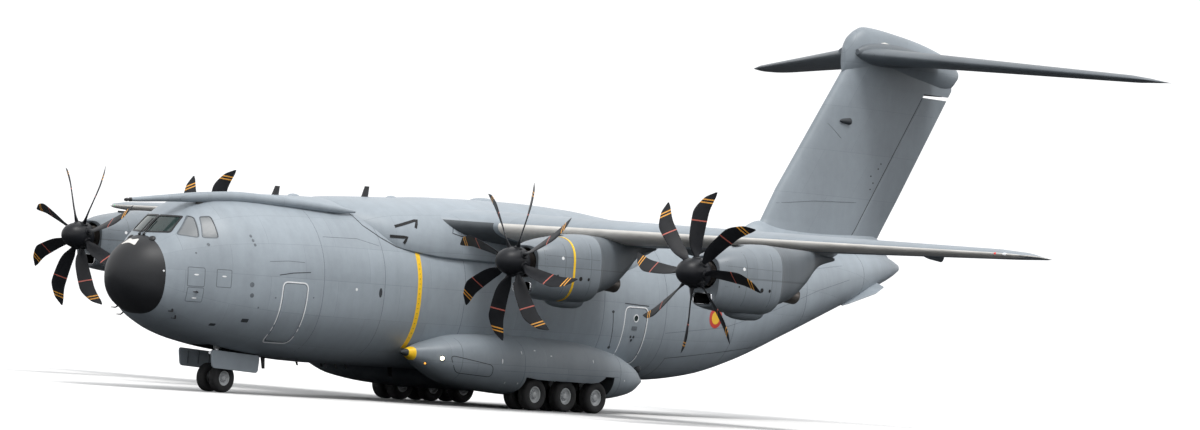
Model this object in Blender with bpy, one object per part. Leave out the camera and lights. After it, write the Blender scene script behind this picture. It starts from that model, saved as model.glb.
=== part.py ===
"""High-wing military transport plane with four propellers, parked on its gear.

A 1:2 scale model. All sizes below are of the full-size aircraft in metres and
pass through P(), which applies SCALE. Stations (s) run aft from the nose tip,
l is measured to port and h up from the ground. The nose points to -Y, port is
+X and up is +Z.
"""
from math import acos, cos, pi, radians, sin, sqrt

import bmesh
import bpy
from mathutils import Matrix, Vector

# ------------------------------------------------------------ driving sizes
SCALE = 0.5             # model : aircraft
MID_STATION = 22.671    # station that lies at Y = 0, the middle of the length
FIT = 0.001             # gap between fixed neighbours that touch
CLEAR = 0.020           # gap around a moving piece
END_GAP = 0.060         # gap at the end of a surface that swings about a swept hinge
ROOT_GAP = 0.095        # the same at the inner end of the inboard flap
RUDDER_GAP = (0.095, 0.145)  # the same below and above the rudder
STEP = 0.002            # length over which an outline changes
WALL = 0.14             # fuselage wall: skin, frames and lining
SIDES = 20              # sides of a fuselage ring
LOWER_POWER = 2.6       # squareness of the lower half of a fuselage section
UPPER_POWER = 2.0

TIP_H = 3.68            # height of the nose tip
RADOME_S = 1.15         # radome joint
NOSE_END_S = 6.90       # joint of nose and centre fuselage
CENTRE_END_S = 24.60    # joint of centre and rear fuselage
REAR_END_S = 37.60      # joint of rear fuselage and tail cone
CONE_END_S = 41.20
HOLD_FLOOR_H = 2.05
COCKPIT_FLOOR_H = 3.80

RAMP_S0, RAMP_H0 = 25.20, 1.16      # ramp hinge, at the belly skin
RAMP_SILL = ((25.20, 2.05), (31.00, 2.66))  # top face of the closed ramp
DOOR_S1 = 37.30                     # aft edge of the upper cargo door
RAMP_END = ((31.22, 2.36), (30.90, 2.70))   # slanted joint of ramp and door

SPINNER_R = 0.48
MAIN_TYRE_R, MAIN_TYRE_W, MAIN_TRACK_L = 0.56, 0.42, 3.08
NOSE_TYRE_R, NOSE_TYRE_W = 0.48, 0.34
NOSE_GEAR_S = 5.00
MAIN_GEAR_S = (16.95, 18.55, 20.15)
TYRE_SIDES = 16

# fuselage: station, half-width, top, bottom, height of the widest point
FUSELAGE = (
    (1.15, 1.24, 4.97, 2.41, 3.67),
    (1.60, 1.58, 5.40, 2.18, 3.68),
    (2.10, 1.84, 5.82, 1.98, 3.70),
    (2.70, 2.11, 6.19, 1.78, 3.74),
    (3.50, 2.36, 6.45, 1.60, 3.79),
    (5.00, 2.62, 6.57, 1.39, 3.86),
    (7.00, 2.74, 6.65, 1.23, 3.90),
    (9.00, 2.78, 6.70, 1.14, 3.92),
    (24.0, 2.78, 6.70, 1.14, 3.92),
    (26.0, 2.77, 6.70, 1.20, 3.95),
    (28.0, 2.72, 6.70, 1.42, 4.05),
    (30.0, 2.60, 6.70, 1.92, 4.25),
    (33.0, 2.26, 6.70, 2.97, 4.75),
    (36.0, 1.74, 6.68, 4.02, 5.30),
    (38.5, 1.20, 6.62, 4.88, 5.70),
    (40.3, 0.70, 6.45, 5.52, 5.95),
    (41.2, 0.26, 6.20, 5.86, 6.02),
)
# fairing over the wing centre: station, half-width, top, base height, power
WING_FAIRING = (
    (8.60, 0.95, 6.62, 6.05, 2.0),
    (9.60, 1.90, 6.76, 5.55, 2.1),
    (11.0, 2.55, 6.84, 5.00, 2.3),
    (13.0, 2.72, 6.93, 4.80, 2.6),
    (15.0, 2.76, 7.05, 4.80, 2.8),
    (18.5, 2.76, 7.11, 4.80, 2.8),
    (21.0, 2.74, 7.05, 4.90, 2.6),
    (23.0, 2.50, 6.92, 5.20, 2.3),
    (25.0, 1.70, 6.76, 5.80, 2.1),
    (26.0, 1.00, 6.66, 6.15, 2.0),
)
# sponson: station, centre l, centre h, half-width, rise, drop
SPONSON = (
    (10.50, 2.66, 1.72, 0.06, 0.05, 0.05),
    (11.00, 2.64, 1.70, 0.40, 0.26, 0.28),
    (12.00, 2.60, 1.66, 0.75, 0.52, 0.58),
    (13.50, 2.55, 1.60, 1.05, 0.80, 0.86),
    (15.20, 2.50, 1.52, 1.28, 0.98, 0.98),
    (17.00, 2.48, 1.46, 1.38, 1.04, 1.00),
    (19.50, 2.48, 1.44, 1.38, 1.00, 1.00),
    (21.20, 2.48, 1.40, 1.20, 0.82, 0.92),
    (22.60, 2.48, 1.30, 0.78, 0.50, 0.62),
    (23.70, 2.48, 1.20, 0.10, 0.07, 0.08),
)
# wing: l, leading-edge station, chord, chord-line height, thickness ratio
WING = (
    (0.90, 13.60, 7.75, 6.16, 0.145),
    (2.80, 14.05, 7.20, 6.16, 0.145),
    (7.00, 15.40, 6.05, 6.20, 0.140),
    (14.3, 17.73, 4.12, 6.26, 0.130),
    (20.3, 19.68, 2.62, 6.30, 0.120),
    (20.9, 19.95, 2.28, 6.30, 0.100),
    (21.2, 20.35, 1.70, 6.30, 0.060),
)
# trailing surfaces: name, inner l, outer l, hinge fraction, hinge drop below the chord line
TRAILING = (
    ("inboard_flap", 3.06, 8.60, 0.74, 0.62),
    ("outboard_flap", 8.68, 15.30, 0.74, 0.42),
    ("aileron", 15.38, 20.20, 0.75, 0.0),
)
# hinge fairings under the wing: l, depth below the chord line
# refuelling boom on the roof: station, l, height, radius
REFUEL_BOOM = (
    (0.02, 0.25, 6.05, 0.050),
    (0.25, 0.29, 6.07, 0.065),
    (1.60, 0.51, 6.21, 0.115),
    (3.15, 0.75, 6.35, 0.170),
    (4.60, 0.97, 6.44, 0.175),
    (6.20, 1.30, 6.41, 0.165),
    (7.60, 1.53, 6.35, 0.150),
    (8.60, 1.66, 6.30, 0.115),
    (9.35, 1.68, 6.28, 0.040),
)
HINGE_FAIRINGS = ((4.60, 0.62), (8.10, 0.56), (9.90, 0.50), (12.30, 0.46), (17.30, 0.30))
# their rows: chord fraction, share of the depth, half-width
FAIRING_FIXED = ((0.36, 0.30, 0.03), (0.44, 0.62, 0.09), (0.55, 0.88, 0.13), (0.685, 1.00, 0.14))
FAIRING_MOVING = ((0.752, 1.00, 0.14), (0.85, 0.92, 0.13), (0.96, 0.66, 0.09), (1.05, 0.25, 0.03))
# tailplane: l, leading-edge station, chord, height, thickness ratio
TAILPLANE = (
    (0.00, 37.30, 5.15, 13.95, 0.12),
    (0.62, 37.72, 4.94, 13.93, 0.12),
    (8.70, 42.95, 2.38, 13.66, 0.11),
    (9.44, 43.55, 1.70, 13.63, 0.07),
)
ELEVATOR_L, ELEVATOR_HINGE = (0.72, 8.66), 0.70
# fin: h, leading-edge station, chord, half-thickness ratio
FIN = (
    (6.30, 31.60, 7.90, 0.055),
    (7.35, 33.00, 7.20, 0.058),
    (8.60, 33.78, 7.30, 0.058),
    (13.0, 37.05, 7.00, 0.058),
)
RUDDER_H, RUDDER_HINGE = (7.08, 12.60), 0.765
# fairing on top of the fin: station, half-width, top, bottom
FIN_CAP = (
    (37.20, 0.10, 14.10, 13.20),
    (37.55, 0.34, 14.62, 13.05),
    (38.35, 0.46, 14.99, 12.95),
    (40.70, 0.50, 14.80, 12.90),
    (43.00, 0.36, 14.40, 12.92),
    (44.00, 0.18, 14.02, 13.10),
    (44.40, 0.05, 13.75, 13.45),
)
# nacelle, measured from the propeller plane: aft, half-width, top, bottom, widest
NACELLE = (
    (0.50, 0.64, 5.56, 3.90, 4.95),
    (1.00, 0.82, 5.74, 3.82, 4.92),
    (1.80, 0.96, 5.90, 3.76, 4.90),
    (3.00, 1.02, 6.05, 3.74, 4.90),
    (4.40, 1.00, 6.08, 3.88, 4.95),
    (5.50, 0.84, 5.98, 4.14, 5.05),
    (6.40, 0.58, 5.80, 4.52, 5.18),
    (7.20, 0.24, 5.62, 5.00, 5.32),
)
ENGINE_AXIS_H = 4.98
# engines: name, l, station of the propeller plane, turning sense
ENGINES = (
    ("left_outboard", 14.28, 12.10, 1),
    ("left_inboard", 7.02, 11.50, -1),
    ("right_inboard", -7.02, 11.50, 1),
    ("right_outboard", -14.28, 12.10, -1),
)
# blade: radius, chord, sweep, pitch in degrees from the plane of rotation
BLADE = (
    (0.34, 0.28, 0.00, 62.0),
    (1.15, 0.48, 0.11, 51.0),
    (1.90, 0.52, 0.08, 43.0),
    (2.42, 0.36, -0.13, 39.0),
    (2.665, 0.12, -0.34, 37.0),
)


# ------------------------------------------------------------ helpers
def P(l, s, h):
    return Vector((l * SCALE, (s - MID_STATION) * SCALE, h * SCALE))


def clear_scene():
    for obj in list(bpy.data.objects):
        bpy.data.objects.remove(obj, do_unlink=True)


def material(name, colour, roughness, metallic=0.0, alpha=1.0):
    mat = bpy.data.materials.get(name) or bpy.data.materials.new(name)
    mat.use_nodes = True
    shader = mat.node_tree.nodes["Principled BSDF"]
    shader.inputs["Base Color"].default_value = (*colour, 1.0)
    shader.inputs["Roughness"].default_value = roughness
    shader.inputs["Metallic"].default_value = metallic
    shader.inputs["Alpha"].default_value = alpha
    mat.diffuse_color = (*colour, alpha)
    return mat


GREY = dict(colour=(0.25, 0.28, 0.31), roughness=0.45)
DARK = dict(colour=(0.020, 0.020, 0.022), roughness=0.5)
STEEL = dict(colour=(0.55, 0.56, 0.58), roughness=0.35, metallic=0.9)
TYRE = dict(colour=(0.03, 0.03, 0.03), roughness=0.85)
GLASS = dict(colour=(0.10, 0.14, 0.13), roughness=0.08, alpha=0.4)
CABIN = dict(colour=(0.16, 0.17, 0.18), roughness=0.7)
SEAT = dict(colour=(0.05, 0.05, 0.055), roughness=0.8)


def new_object(name, bm, look, smooth=40.0, origin=None):
    """A mesh object from a bmesh in world space, with its origin moved to a point."""
    bmesh.ops.recalc_face_normals(bm, faces=bm.faces)
    if bm.calc_volume(signed=True) < 0:
        bmesh.ops.reverse_faces(bm, faces=bm.faces)
    origin = Vector(origin) if origin is not None else Vector((0, 0, 0))
    for vert in bm.verts:
        vert.co -= origin
    mesh = bpy.data.meshes.new(name)
    bm.to_mesh(mesh)
    bm.free()
    obj = bpy.data.objects.new(name, mesh)
    obj.location = origin
    bpy.context.scene.collection.objects.link(obj)
    if look is not None:
        mesh.materials.append(material(name, **look))
    if smooth:
        mesh.shade_smooth()
        mesh.set_sharp_from_angle(angle=radians(smooth))
    return obj


def loft(rings, closed=False, bm=None):
    """Join rings of equal length; the ends are capped, or joined when closed."""
    bm = bm or bmesh.new()
    made = [[bm.verts.new(p) for p in ring] for ring in rings]
    n = len(made[0])
    pairs = list(zip(made, made[1:])) + ([(made[-1], made[0])] if closed else [])
    for a, b in pairs:
        # the diagonals of neighbours that share a shape must match
        aft = sum(v.co.y for v in b) >= sum(v.co.y for v in a)
        for j in range(n):
            k = (j + 1) % n
            if aft:
                bm.faces.new((a[j], a[k], b[k]))
                bm.faces.new((a[j], b[k], b[j]))
            else:
                bm.faces.new((a[j], a[k], b[j]))
                bm.faces.new((a[k], b[k], b[j]))
    if not closed:
        bm.faces.new(made[0][::-1])
        bm.faces.new(made[-1])
    return bm


def box(l, s, h, bm=None):
    """A box given by its (low, high) pairs."""
    ring = [(l[0], h[0]), (l[1], h[0]), (l[1], h[1]), (l[0], h[1])]
    return loft([[P(a, st, b) for a, b in ring] for st in s], bm=bm)


def prism(points, l0, l1, bm=None):
    """An outline in (station, height) carried from l0 to l1."""
    return loft([[P(l, s, h) for s, h in points] for l in (l0, l1)], bm=bm)


def tube(a, b, radius, sides=10, radius_b=None, bm=None):
    """A round bar from a to b, both in full-size (l, s, h)."""
    a, b = P(*a), P(*b)
    turn = (b - a).to_track_quat("Z", "Y").to_matrix()
    rings = []
    for centre, r in ((a, radius), (b, radius_b or radius)):
        rings.append([
            centre + turn @ (Vector((cos(t), sin(t), 0)) * r * SCALE)
            for t in (2 * pi * (k + 0.5) / sides for k in range(sides))
        ])
    return loft(rings, bm=bm)


def lathe(profile, centre, axis, sides, phase=0.5):
    """Turn (along, radius) points about an axis through a full-size point."""
    centre = P(*centre)
    frame = Vector(axis).to_track_quat("Z", "Y").to_matrix()
    rings = [
        [
            centre + frame @ (Vector((r * cos(t), r * sin(t), along)) * SCALE)
            for t in (2 * pi * (k + phase) / sides for k in range(sides))
        ]
        for along, r in profile
    ]
    return loft(rings)


def cutter(name, bm):
    obj = new_object(name, bm, None, smooth=0)
    obj.hide_render = True
    obj.display_type = "WIRE"
    return obj


def boolean(obj, other, operation="DIFFERENCE"):
    mod = obj.modifiers.new(f"{operation.lower()}_{other.name}", "BOOLEAN")
    mod.operation = operation
    mod.object = other
    mod.solver = "EXACT"
    return obj


def hermite(table, x):
    """Smooth reading of a table whose first column is x."""
    if x <= table[0][0]:
        return table[0][1:]
    if x >= table[-1][0]:
        return table[-1][1:]
    i = max(k for k in range(len(table) - 1) if table[k][0] <= x)
    x0, x1 = table[i][0], table[i + 1][0]
    t, out = (x - x0) / (x1 - x0), []
    for c in range(1, len(table[0])):
        def slope(k):
            if k <= 0:
                return (table[1][c] - table[0][c]) / (table[1][0] - table[0][0])
            if k >= len(table) - 1:
                return (table[-1][c] - table[-2][c]) / (table[-1][0] - table[-2][0])
            d0 = (table[k][c] - table[k - 1][c]) / (table[k][0] - table[k - 1][0])
            d1 = (table[k + 1][c] - table[k][c]) / (table[k + 1][0] - table[k][0])
            return 0.0 if d0 * d1 <= 0 else 2 * d0 * d1 / (d0 + d1)
        y0, y1 = table[i][c], table[i + 1][c]
        m0, m1 = slope(i) * (x1 - x0), slope(i + 1) * (x1 - x0)
        out.append(
            (2 * t**3 - 3 * t**2 + 1) * y0 + (t**3 - 2 * t**2 + t) * m0
            + (-2 * t**3 + 3 * t**2) * y1 + (t**3 - t**2) * m1
        )
    return tuple(out)


def linear(table, x):
    """Straight-line reading of a table whose first column is x."""
    x = min(max(x, table[0][0]), table[-1][0])
    for low, high in zip(table, table[1:]):
        if x <= high[0]:
            t = (x - low[0]) / (high[0] - low[0])
            return tuple(a + (b - a) * t for a, b in zip(low[1:], high[1:]))


def breaks(table, low, high):
    """The ends of a span with the table's own rows between them."""
    return [low] + [row[0] for row in table if low < row[0] < high] + [high]


# ------------------------------------------------------------ fuselage shape
def fuselage_at(s):
    """Half-width, top, bottom and height of the widest point at a station."""
    if s >= RADOME_S:
        return hermite(FUSELAGE, s)
    joint = FUSELAGE[0]
    end = radians(65.0)
    t = acos(1 - s / RADOME_S * (1 - cos(end)))
    k = sin(t) / sin(end)
    return (
        joint[1] * k,
        TIP_H + (joint[2] - TIP_H) * k,
        TIP_H - (TIP_H - joint[3]) * k,
        TIP_H + (joint[4] - TIP_H) * s / RADOME_S,
    )


def ring_at(s, inset=0.0, floor=None, sides=SIDES, station=None):
    w, top, bottom, zc = fuselage_at(s)
    points = []
    for k in range(sides):
        t = 2 * pi * (k + 0.5) / sides
        c, z = cos(t), sin(t)
        a = w - inset
        b = (top - zc if z > 0 else zc - bottom) - inset
        e = UPPER_POWER if z > 0 else LOWER_POWER
        r = ((abs(c) / a) ** e + (abs(z) / b) ** e) ** (-1 / e)
        if floor is not None and z < 0:
            r = min(r, (floor - zc) / z)
        points.append(P(r * c, s if station is None else station, zc + r * z))
    return points


def hull(stations, inset=0.0):
    return loft([ring_at(s, inset) for s in stations])


def shell(outer, inner, floor=None, inset=WALL):
    """A tube of the fuselage's shape, open at both ends."""
    rings = [ring_at(s) for s in outer]
    rings += [ring_at(s, inset, floor) for s in reversed(inner)]
    return loft(rings, closed=True)


# every ring of the hull; each piece takes those between its ends
STATIONS = (1.15, 1.6, 2.1, 2.7, 3.5, 5.0, 6.9, 9.0, 24.0, 24.6, 26.0, 28.0, 30.0,
            33.0, 36.0, 37.6, 38.5, 40.3, 41.2)


def between(low, high):
    return [low] + [s for s in STATIONS if low + 0.01 < s < high - 0.01] + [high]


# ------------------------------------------------------------ lifting surfaces
def thickness(x):
    """Half-thickness of a symmetric section of unit thickness ratio."""
    return 5 * (0.2969 * sqrt(x) - 0.1260 * x - 0.3516 * x**2 + 0.2843 * x**3
                - 0.1036 * x**4) + 0.004 * x / 0.12


FRONT = (0.0, 0.03, 0.13, 0.38)


def surface_ring(place, ratio, start, end, grow=0.0):
    """Outline of a section from its nose to the fraction end.

    place(x, z) puts a chord fraction and a height share in space."""
    xs = [x for x in FRONT if x < start - 0.01] + [start, end + grow]
    upper = [(x, thickness(min(x, 1)) * ratio + grow) for x in xs]
    lower = [(x, -thickness(min(x, 1)) * ratio - grow) for x in reversed(xs[1:])]
    return [place(x - (grow if x == 0 else 0), z if x else 0) for x, z in upper + lower]


def wing_place(l, side, camber=0.35):
    s0, chord, h, ratio = linear(WING, l)

    def place(x, z):
        lift = camber * 0.04 * sin(pi * min(max(x, 0), 1)) * chord
        return P(side * l, s0 + x * chord, h + z * chord + lift - 0.03 * x * chord)
    return place, ratio, chord


def wing_mesh(side, grow=0.0):
    """Wing with its trailing edge cut away ahead of the moving surfaces."""
    inner, outer = TRAILING[0][1], TRAILING[-1][2]
    cuts = [(l, 1.0) for l in breaks(WING, WING[0][0], inner - ROOT_GAP)]
    for name, l0, l1, hinge, drop in TRAILING:
        gap = ROOT_GAP if l0 == inner else END_GAP
        cuts += [(l, hinge) for l in breaks(WING, l0 - gap + STEP, l1)]
    cuts[-1] = (outer + END_GAP - STEP, TRAILING[-1][3])
    cuts += [(l, 1.0) for l in breaks(WING, outer + END_GAP, WING[-1][0])]
    rings = []
    for l, end in cuts:
        place, ratio, chord = wing_place(l, side)
        if end < 1:
            t = thickness(end) * ratio
            last = end - t - (CLEAR * 1.0) / chord
        else:
            last = 1.0
        rings.append(surface_ring(place, ratio, 0.68, last, grow))
    return loft(rings)


def fairing_mesh(side, l, depth, rows):
    """A slim pod hanging from the chord line, holding a flap's hinge."""
    place = wing_place(l, side)[0]
    rings = []
    for x, share, w in rows:
        base = place(min(x, 0.94), 0)
        base.y = place(x, 0).y
        low = depth * share
        rings.append([base + Vector((side * w * a, 0, -low * b)) * SCALE
                      for a, b in ((-0.9, 0.0), (-1.0, 0.7), (0, 1.0), (1.0, 0.7), (0.9, 0.0))])
    return loft(rings)


def flap_mesh(place_at, stations, hinge, bm=None):
    """A trailing surface with a round nose about its hinge line."""
    rings = []
    for l in stations:
        place, ratio, chord = place_at(l)
        t = thickness(hinge) * ratio
        ring = [place(hinge - t * cos(a), t * sin(a))
                for a in (radians(d) for d in (-60, -25, 25, 60))]
        for x in (hinge + 0.35 * (1 - hinge), 1.0):
            ring.append(place(x, thickness(x) * ratio))
        for x in (1.0, hinge + 0.35 * (1 - hinge)):
            ring.append(place(x, -thickness(x) * ratio))
        rings.append(ring)
    return loft(rings, bm=bm)


# ------------------------------------------------------------ build: fuselage
def build_fuselage():
    radome_rings = [ring_at(s, 0, sides=SIDES)
                    for s in (0.015, 0.09, 0.26, 0.54, 0.86, RADOME_S - FIT)]
    new_object("radome", loft(radome_rings), DARK)

    # nose: a cup closed at the front by the pressure bulkhead
    outer = between(RADOME_S, NOSE_END_S - FIT)
    inner = reversed(between(1.45, NOSE_END_S - FIT))
    rings = [ring_at(s) for s in outer] + [ring_at(s, WALL) for s in inner]
    nose = new_object("nose_fuselage", loft(rings), GREY)
    for side, name in ((1, "left"), (-1, "right")):
        # windscreen, looking along the fuselage: (l, h)
        pane = [(side * l, h) for l, h in WINDSCREEN]
        bm = loft([[P(l, s, h) for l, h in pane] for s in (1.16, 2.5)])
        boolean(nose, cutter(f"cut_windscreen_{name}", bm))
        for number, outline in enumerate(SIDE_WINDOWS, 1):
            bm = prism(outline, side * 0.35, side * 2.6)
            boolean(nose, cutter(f"cut_side_window_{number}_{name}", bm))
    boolean(nose, cutter("cut_crew_door", crew_door_block(0.0)))
    boolean(nose, cutter("cut_nose_bay", box(BAY_L, BAY_S, (0.9, 2.6))))

    # centre: the cargo hold runs through it
    outer = between(NOSE_END_S, CENTRE_END_S - FIT)
    centre = new_object("centre_fuselage", shell(outer, outer, HOLD_FLOOR_H), GREY)
    for side, name in ((1, "left"), (-1, "right")):
        boolean(centre, cutter(f"cut_paratroop_door_{name}", paratroop_block(side, 0.0)))

    # rear: a cup closed aft, its belly cut away for the ramp and the cargo door
    outer = between(CENTRE_END_S, REAR_END_S - FIT)
    inner = between(CENTRE_END_S, REAR_END_S - 0.15)
    rings = [ring_at(s) for s in reversed(outer)] + [ring_at(s, WALL) for s in inner]
    rear = new_object("rear_fuselage", loft(rings), GREY)
    (s0, h0), (s1, h1) = RAMP_SILL
    (eb_s, eb_h), (et_s, et_h) = RAMP_END
    g = CLEAR
    ramp_cut = [(s0, 1.0), (ramp_end_s(1.0), 1.0), (ramp_end_s(et_h + g), et_h + g), (s0, h0 + g)]
    boolean(rear, cutter("cut_ramp", prism(ramp_cut, -3.2, 3.2)))
    boolean(rear, cutter("cut_cargo_door", door_plan(g)))

    cone_rings = [ring_at(s) for s in between(REAR_END_S, CONE_END_S)]
    new_object("tail_cone", loft(cone_rings), GREY)


# cockpit glazing: the windscreen looking aft, the side windows looking to port
WINDSCREEN = ((0.05, 5.11), (0.05, 5.63), (0.78, 5.63), (0.84, 5.14))
SIDE_WINDOWS = (
    ((1.71, 5.07), (2.23, 5.02), (2.38, 5.65), (2.28, 5.69)),
    ((2.34, 5.03), (2.82, 5.05), (2.87, 5.72), (2.55, 5.68)),
)
BAY_L, BAY_S = (-0.70, 0.70), (3.90, 6.30)
CREW_DOOR_S, CREW_DOOR_H = (5.22, 6.26), (1.78, 3.74)
PARA_DOOR_S, PARA_DOOR_H = (22.40, 23.56), (1.82, 3.76)


def crew_door_block(gap):
    s, h = CREW_DOOR_S, CREW_DOOR_H
    return box((1.2, 3.2), (s[0] + gap, s[1] - gap), (h[0] + gap, h[1] - gap))


def paratroop_block(side, gap):
    s, h = PARA_DOOR_S, PARA_DOOR_H
    l = (1.2, 3.2) if side > 0 else (-3.2, -1.2)
    return box(l, (s[0] + gap, s[1] - gap), (h[0] + gap, h[1] - gap))


def ramp_end_s(h):
    """Station of the slanted joint of ramp and cargo door at a height."""
    (low_s, low_h), (high_s, high_h) = RAMP_END
    return low_s + (h - low_h) * (high_s - low_s) / (high_h - low_h)


def door_plan(gap):
    """Upright prism through the belly whose plan narrows aft, for the cargo door."""
    (w0, w1), (s0, s1) = DOOR_HALF, (30.40, DOOR_S1)
    w0, w1, s1 = w0 + gap, w1 + gap, s1 + gap
    return loft([[P(-w0, s0, h), P(w0, s0, h), P(w1, s1, h), P(-w1, s1, h)] for h in (1.0, 4.95)])


def build_doors():
    # crew door: a piece of the wall that swings out and down about its lower edge
    hinge = P(CREW_HINGE_L, sum(CREW_DOOR_S) / 2, CREW_DOOR_H[0])
    span = between(3.3, NOSE_END_S)
    wall = shell(span, span, inset=WALL - 0.01)
    door = new_object("crew_door", wall, GREY, origin=hinge)
    block = cutter("keep_crew_door", crew_door_block(CLEAR))
    boolean(door, block, "INTERSECT")

    for side, name in ((1, "left"), (-1, "right")):
        wall = shell((9.0, 24.0), (9.0, 24.0), inset=WALL - 0.01)
        door = new_object(f"paratroop_door_{name}", wall, GREY)
        block = cutter(f"keep_paratroop_door_{name}", paratroop_block(side, 0.012))
        boolean(door, block, "INTERSECT")

    # ramp: the belly below the sill line
    (s0, h0), (s1, h1) = RAMP_SILL
    (eb_s, eb_h), (et_s, et_h) = RAMP_END
    g = CLEAR
    body = hull(between(24.6, 33.0))
    ramp = new_object("cargo_ramp", body, GREY, origin=P(0, RAMP_S0, RAMP_H0))
    outline = [(s0 + g, 1.0), (ramp_end_s(1.0) - g, 1.0), (ramp_end_s(et_h) - g, et_h), (s0 + g, h0)]
    boolean(ramp, cutter("keep_ramp", prism(outline, -3.3, 3.3)), "INTERSECT")

    # upper cargo door: a curved panel that swings up inside about its aft edge
    body = hull(between(30.0, 37.6))
    door = new_object("cargo_door", body, GREY, origin=P(0, *DOOR_HINGE))
    outline = [(37.4, 1.0), (ramp_end_s(1.0) + g, 1.0), (ramp_end_s(2.62) + g, 2.62)]
    outline += [(s, fuselage_at(s)[2] + DOOR_DEPTH) for s in (33.0, 35.2, 37.4)]
    boolean(door, cutter("keep_door_low", prism(outline, -3.3, 3.3)), "INTERSECT")
    boolean(door, cutter("keep_door_plan", door_plan(0.0)), "INTERSECT")


CREW_HINGE_L = 2.09
DOOR_HINGE = (37.28, 4.80)
DOOR_DEPTH = 0.30
DOOR_HALF = (1.46, 0.68)            # half-width of the cargo door, front and aft


# ------------------------------------------------------------ build: cockpit
def build_cockpit():
    # floor, following the wall with a small gap
    h = COCKPIT_FLOOR_H
    rows = []
    for s in (1.75, 2.35, 3.3, 5.0, 6.7):
        w = fuselage_at(s)[0] - WALL - 0.06
        rows.append([P(-w, s, h - 0.10), P(w, s, h - 0.10), P(w, s, h), P(-w, s, h)])
    new_object("cockpit_floor", loft(rows), CABIN, smooth=0)

    # pilots' seats joined by the rails that carry them
    bm = box((-1.0, 1.0), (3.07, 3.27), (h + FIT, h + 0.08))
    seats = new_object("pilot_seats", bm, SEAT, smooth=0)
    for side, name in ((1, "left"), (-1, "right")):
        c = side * 0.62
        outline = [(2.95, h + 0.05), (3.43, h + 0.05), (3.59, h + 1.30), (3.43, h + 1.32),
                   (3.29, h + 0.58), (2.87, h + 0.56), (2.87, h + 0.40), (3.01, h + 0.38)]
        bm = prism(outline, c - 0.26, c + 0.26)
        boolean(seats, cutter(f"join_seat_{name}", bm), "UNION")

    # instrument panel with its glare shield and the console between the seats
    outline = [(2.14, h + FIT), (2.40, h + FIT), (2.40, h + 0.55), (2.28, h + 1.10),
               (1.96, h + 1.14), (1.96, h + 0.60), (2.14, h + 0.55)]
    panel = new_object("instrument_panel", prism(outline, -1.02, 1.02), CABIN, smooth=0)
    bm = box((-0.22, 0.22), (2.32, 3.02), (h + FIT, h + 0.62))
    boolean(panel, cutter("join_console", bm), "UNION")

    # glass band behind the window cut-outs, on the inner face of the wall
    span = between(1.45, 3.5)
    outer = [ring_at(s, WALL + 0.006) for s in span]
    inner = [ring_at(s, WALL + 0.036) for s in reversed(span)]
    glass = new_object("cockpit_glazing", loft(outer + inner, closed=True), GLASS)
    band = [(1.46, 4.99), (3.02, 4.99), (3.02, 5.80), (1.46, 5.80)]
    boolean(glass, cutter("keep_glazing", prism(band, -2.4, 2.4)), "INTERSECT")


# ------------------------------------------------------------ build: wing group
def build_wing():
    hull_cut = cutter("cut_fuselage_hull", loft([ring_at(s, -FIT) for s in between(RADOME_S, CONE_END_S)]))
    rings, cut_rings = [], []
    for grow, out in ((0.0, rings), (FIT, cut_rings)):
        for s, w, top, base, power in WING_FAIRING:
            ring = []
            for k in range(SIDES):
                t = 2 * pi * (k + 0.5) / SIDES
                c, z = cos(t), sin(t)
                if z > 0:
                    r = ((abs(c) / (w + grow)) ** power + (z / (top - base + grow)) ** power) ** (-1 / power)
                else:
                    r = ((abs(c) / (w + grow)) ** 2 + (z / 0.5) ** 2) ** -0.5
                ring.append(P(r * c, s, base + r * z))
            out.append(ring)
    fairing = new_object("wing_fairing", loft(rings), GREY)
    boolean(fairing, hull_cut)
    fairing_cut = cutter("cut_wing_fairing", loft(cut_rings))
    angles = [2 * pi * (k + 0.5) / 10 for k in range(10)]
    rings = [[P(l + r * cos(a), s, h + r * sin(a)) for a in angles] for s, l, h, r in REFUEL_BOOM]
    boom = new_object("refuelling_boom", loft(rings), GREY)
    boolean(boom, hull_cut)

    for side, name in ((1, "left"), (-1, "right")):
        wing = new_object(f"wing_{name}", wing_mesh(side), GREY)
        for number, (l, depth) in enumerate(HINGE_FAIRINGS, 1):
            bm = fairing_mesh(side, l, depth, FAIRING_FIXED)
            boolean(wing, cutter(f"join_hinge_fairing_{number}_{name}", bm), "UNION")
        boolean(wing, fairing_cut)
        boolean(wing, hull_cut)
        cutter(f"cut_wing_{name}", wing_mesh(side, 0.0015))
        for label, l0, l1, hinge, drop in TRAILING:
            ends = []
            for l in (l0, l1):
                place, ratio, chord = wing_place(l, side)
                point = place(hinge, 0)
                point.z -= drop * SCALE
                ends.append(point)
            bm = flap_mesh(lambda q: wing_place(q, side), breaks(WING, l0, l1), hinge)
            surface = new_object(f"{label}_{name}", bm, GREY, origin=(ends[0] + ends[1]) / 2)
            for number, (l, depth) in enumerate(HINGE_FAIRINGS, 1):
                if l0 < l < l1 and drop:
                    bm = fairing_mesh(side, l, depth, FAIRING_MOVING)
                    boolean(surface, cutter(f"join_{label}_fairing_{number}_{name}", bm), "UNION")
            AXES[f"{label}_{name}"] = (tuple((ends[0] + ends[1]) / 2), tuple((ends[1] - ends[0]).normalized()))


AXES = {}


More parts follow.
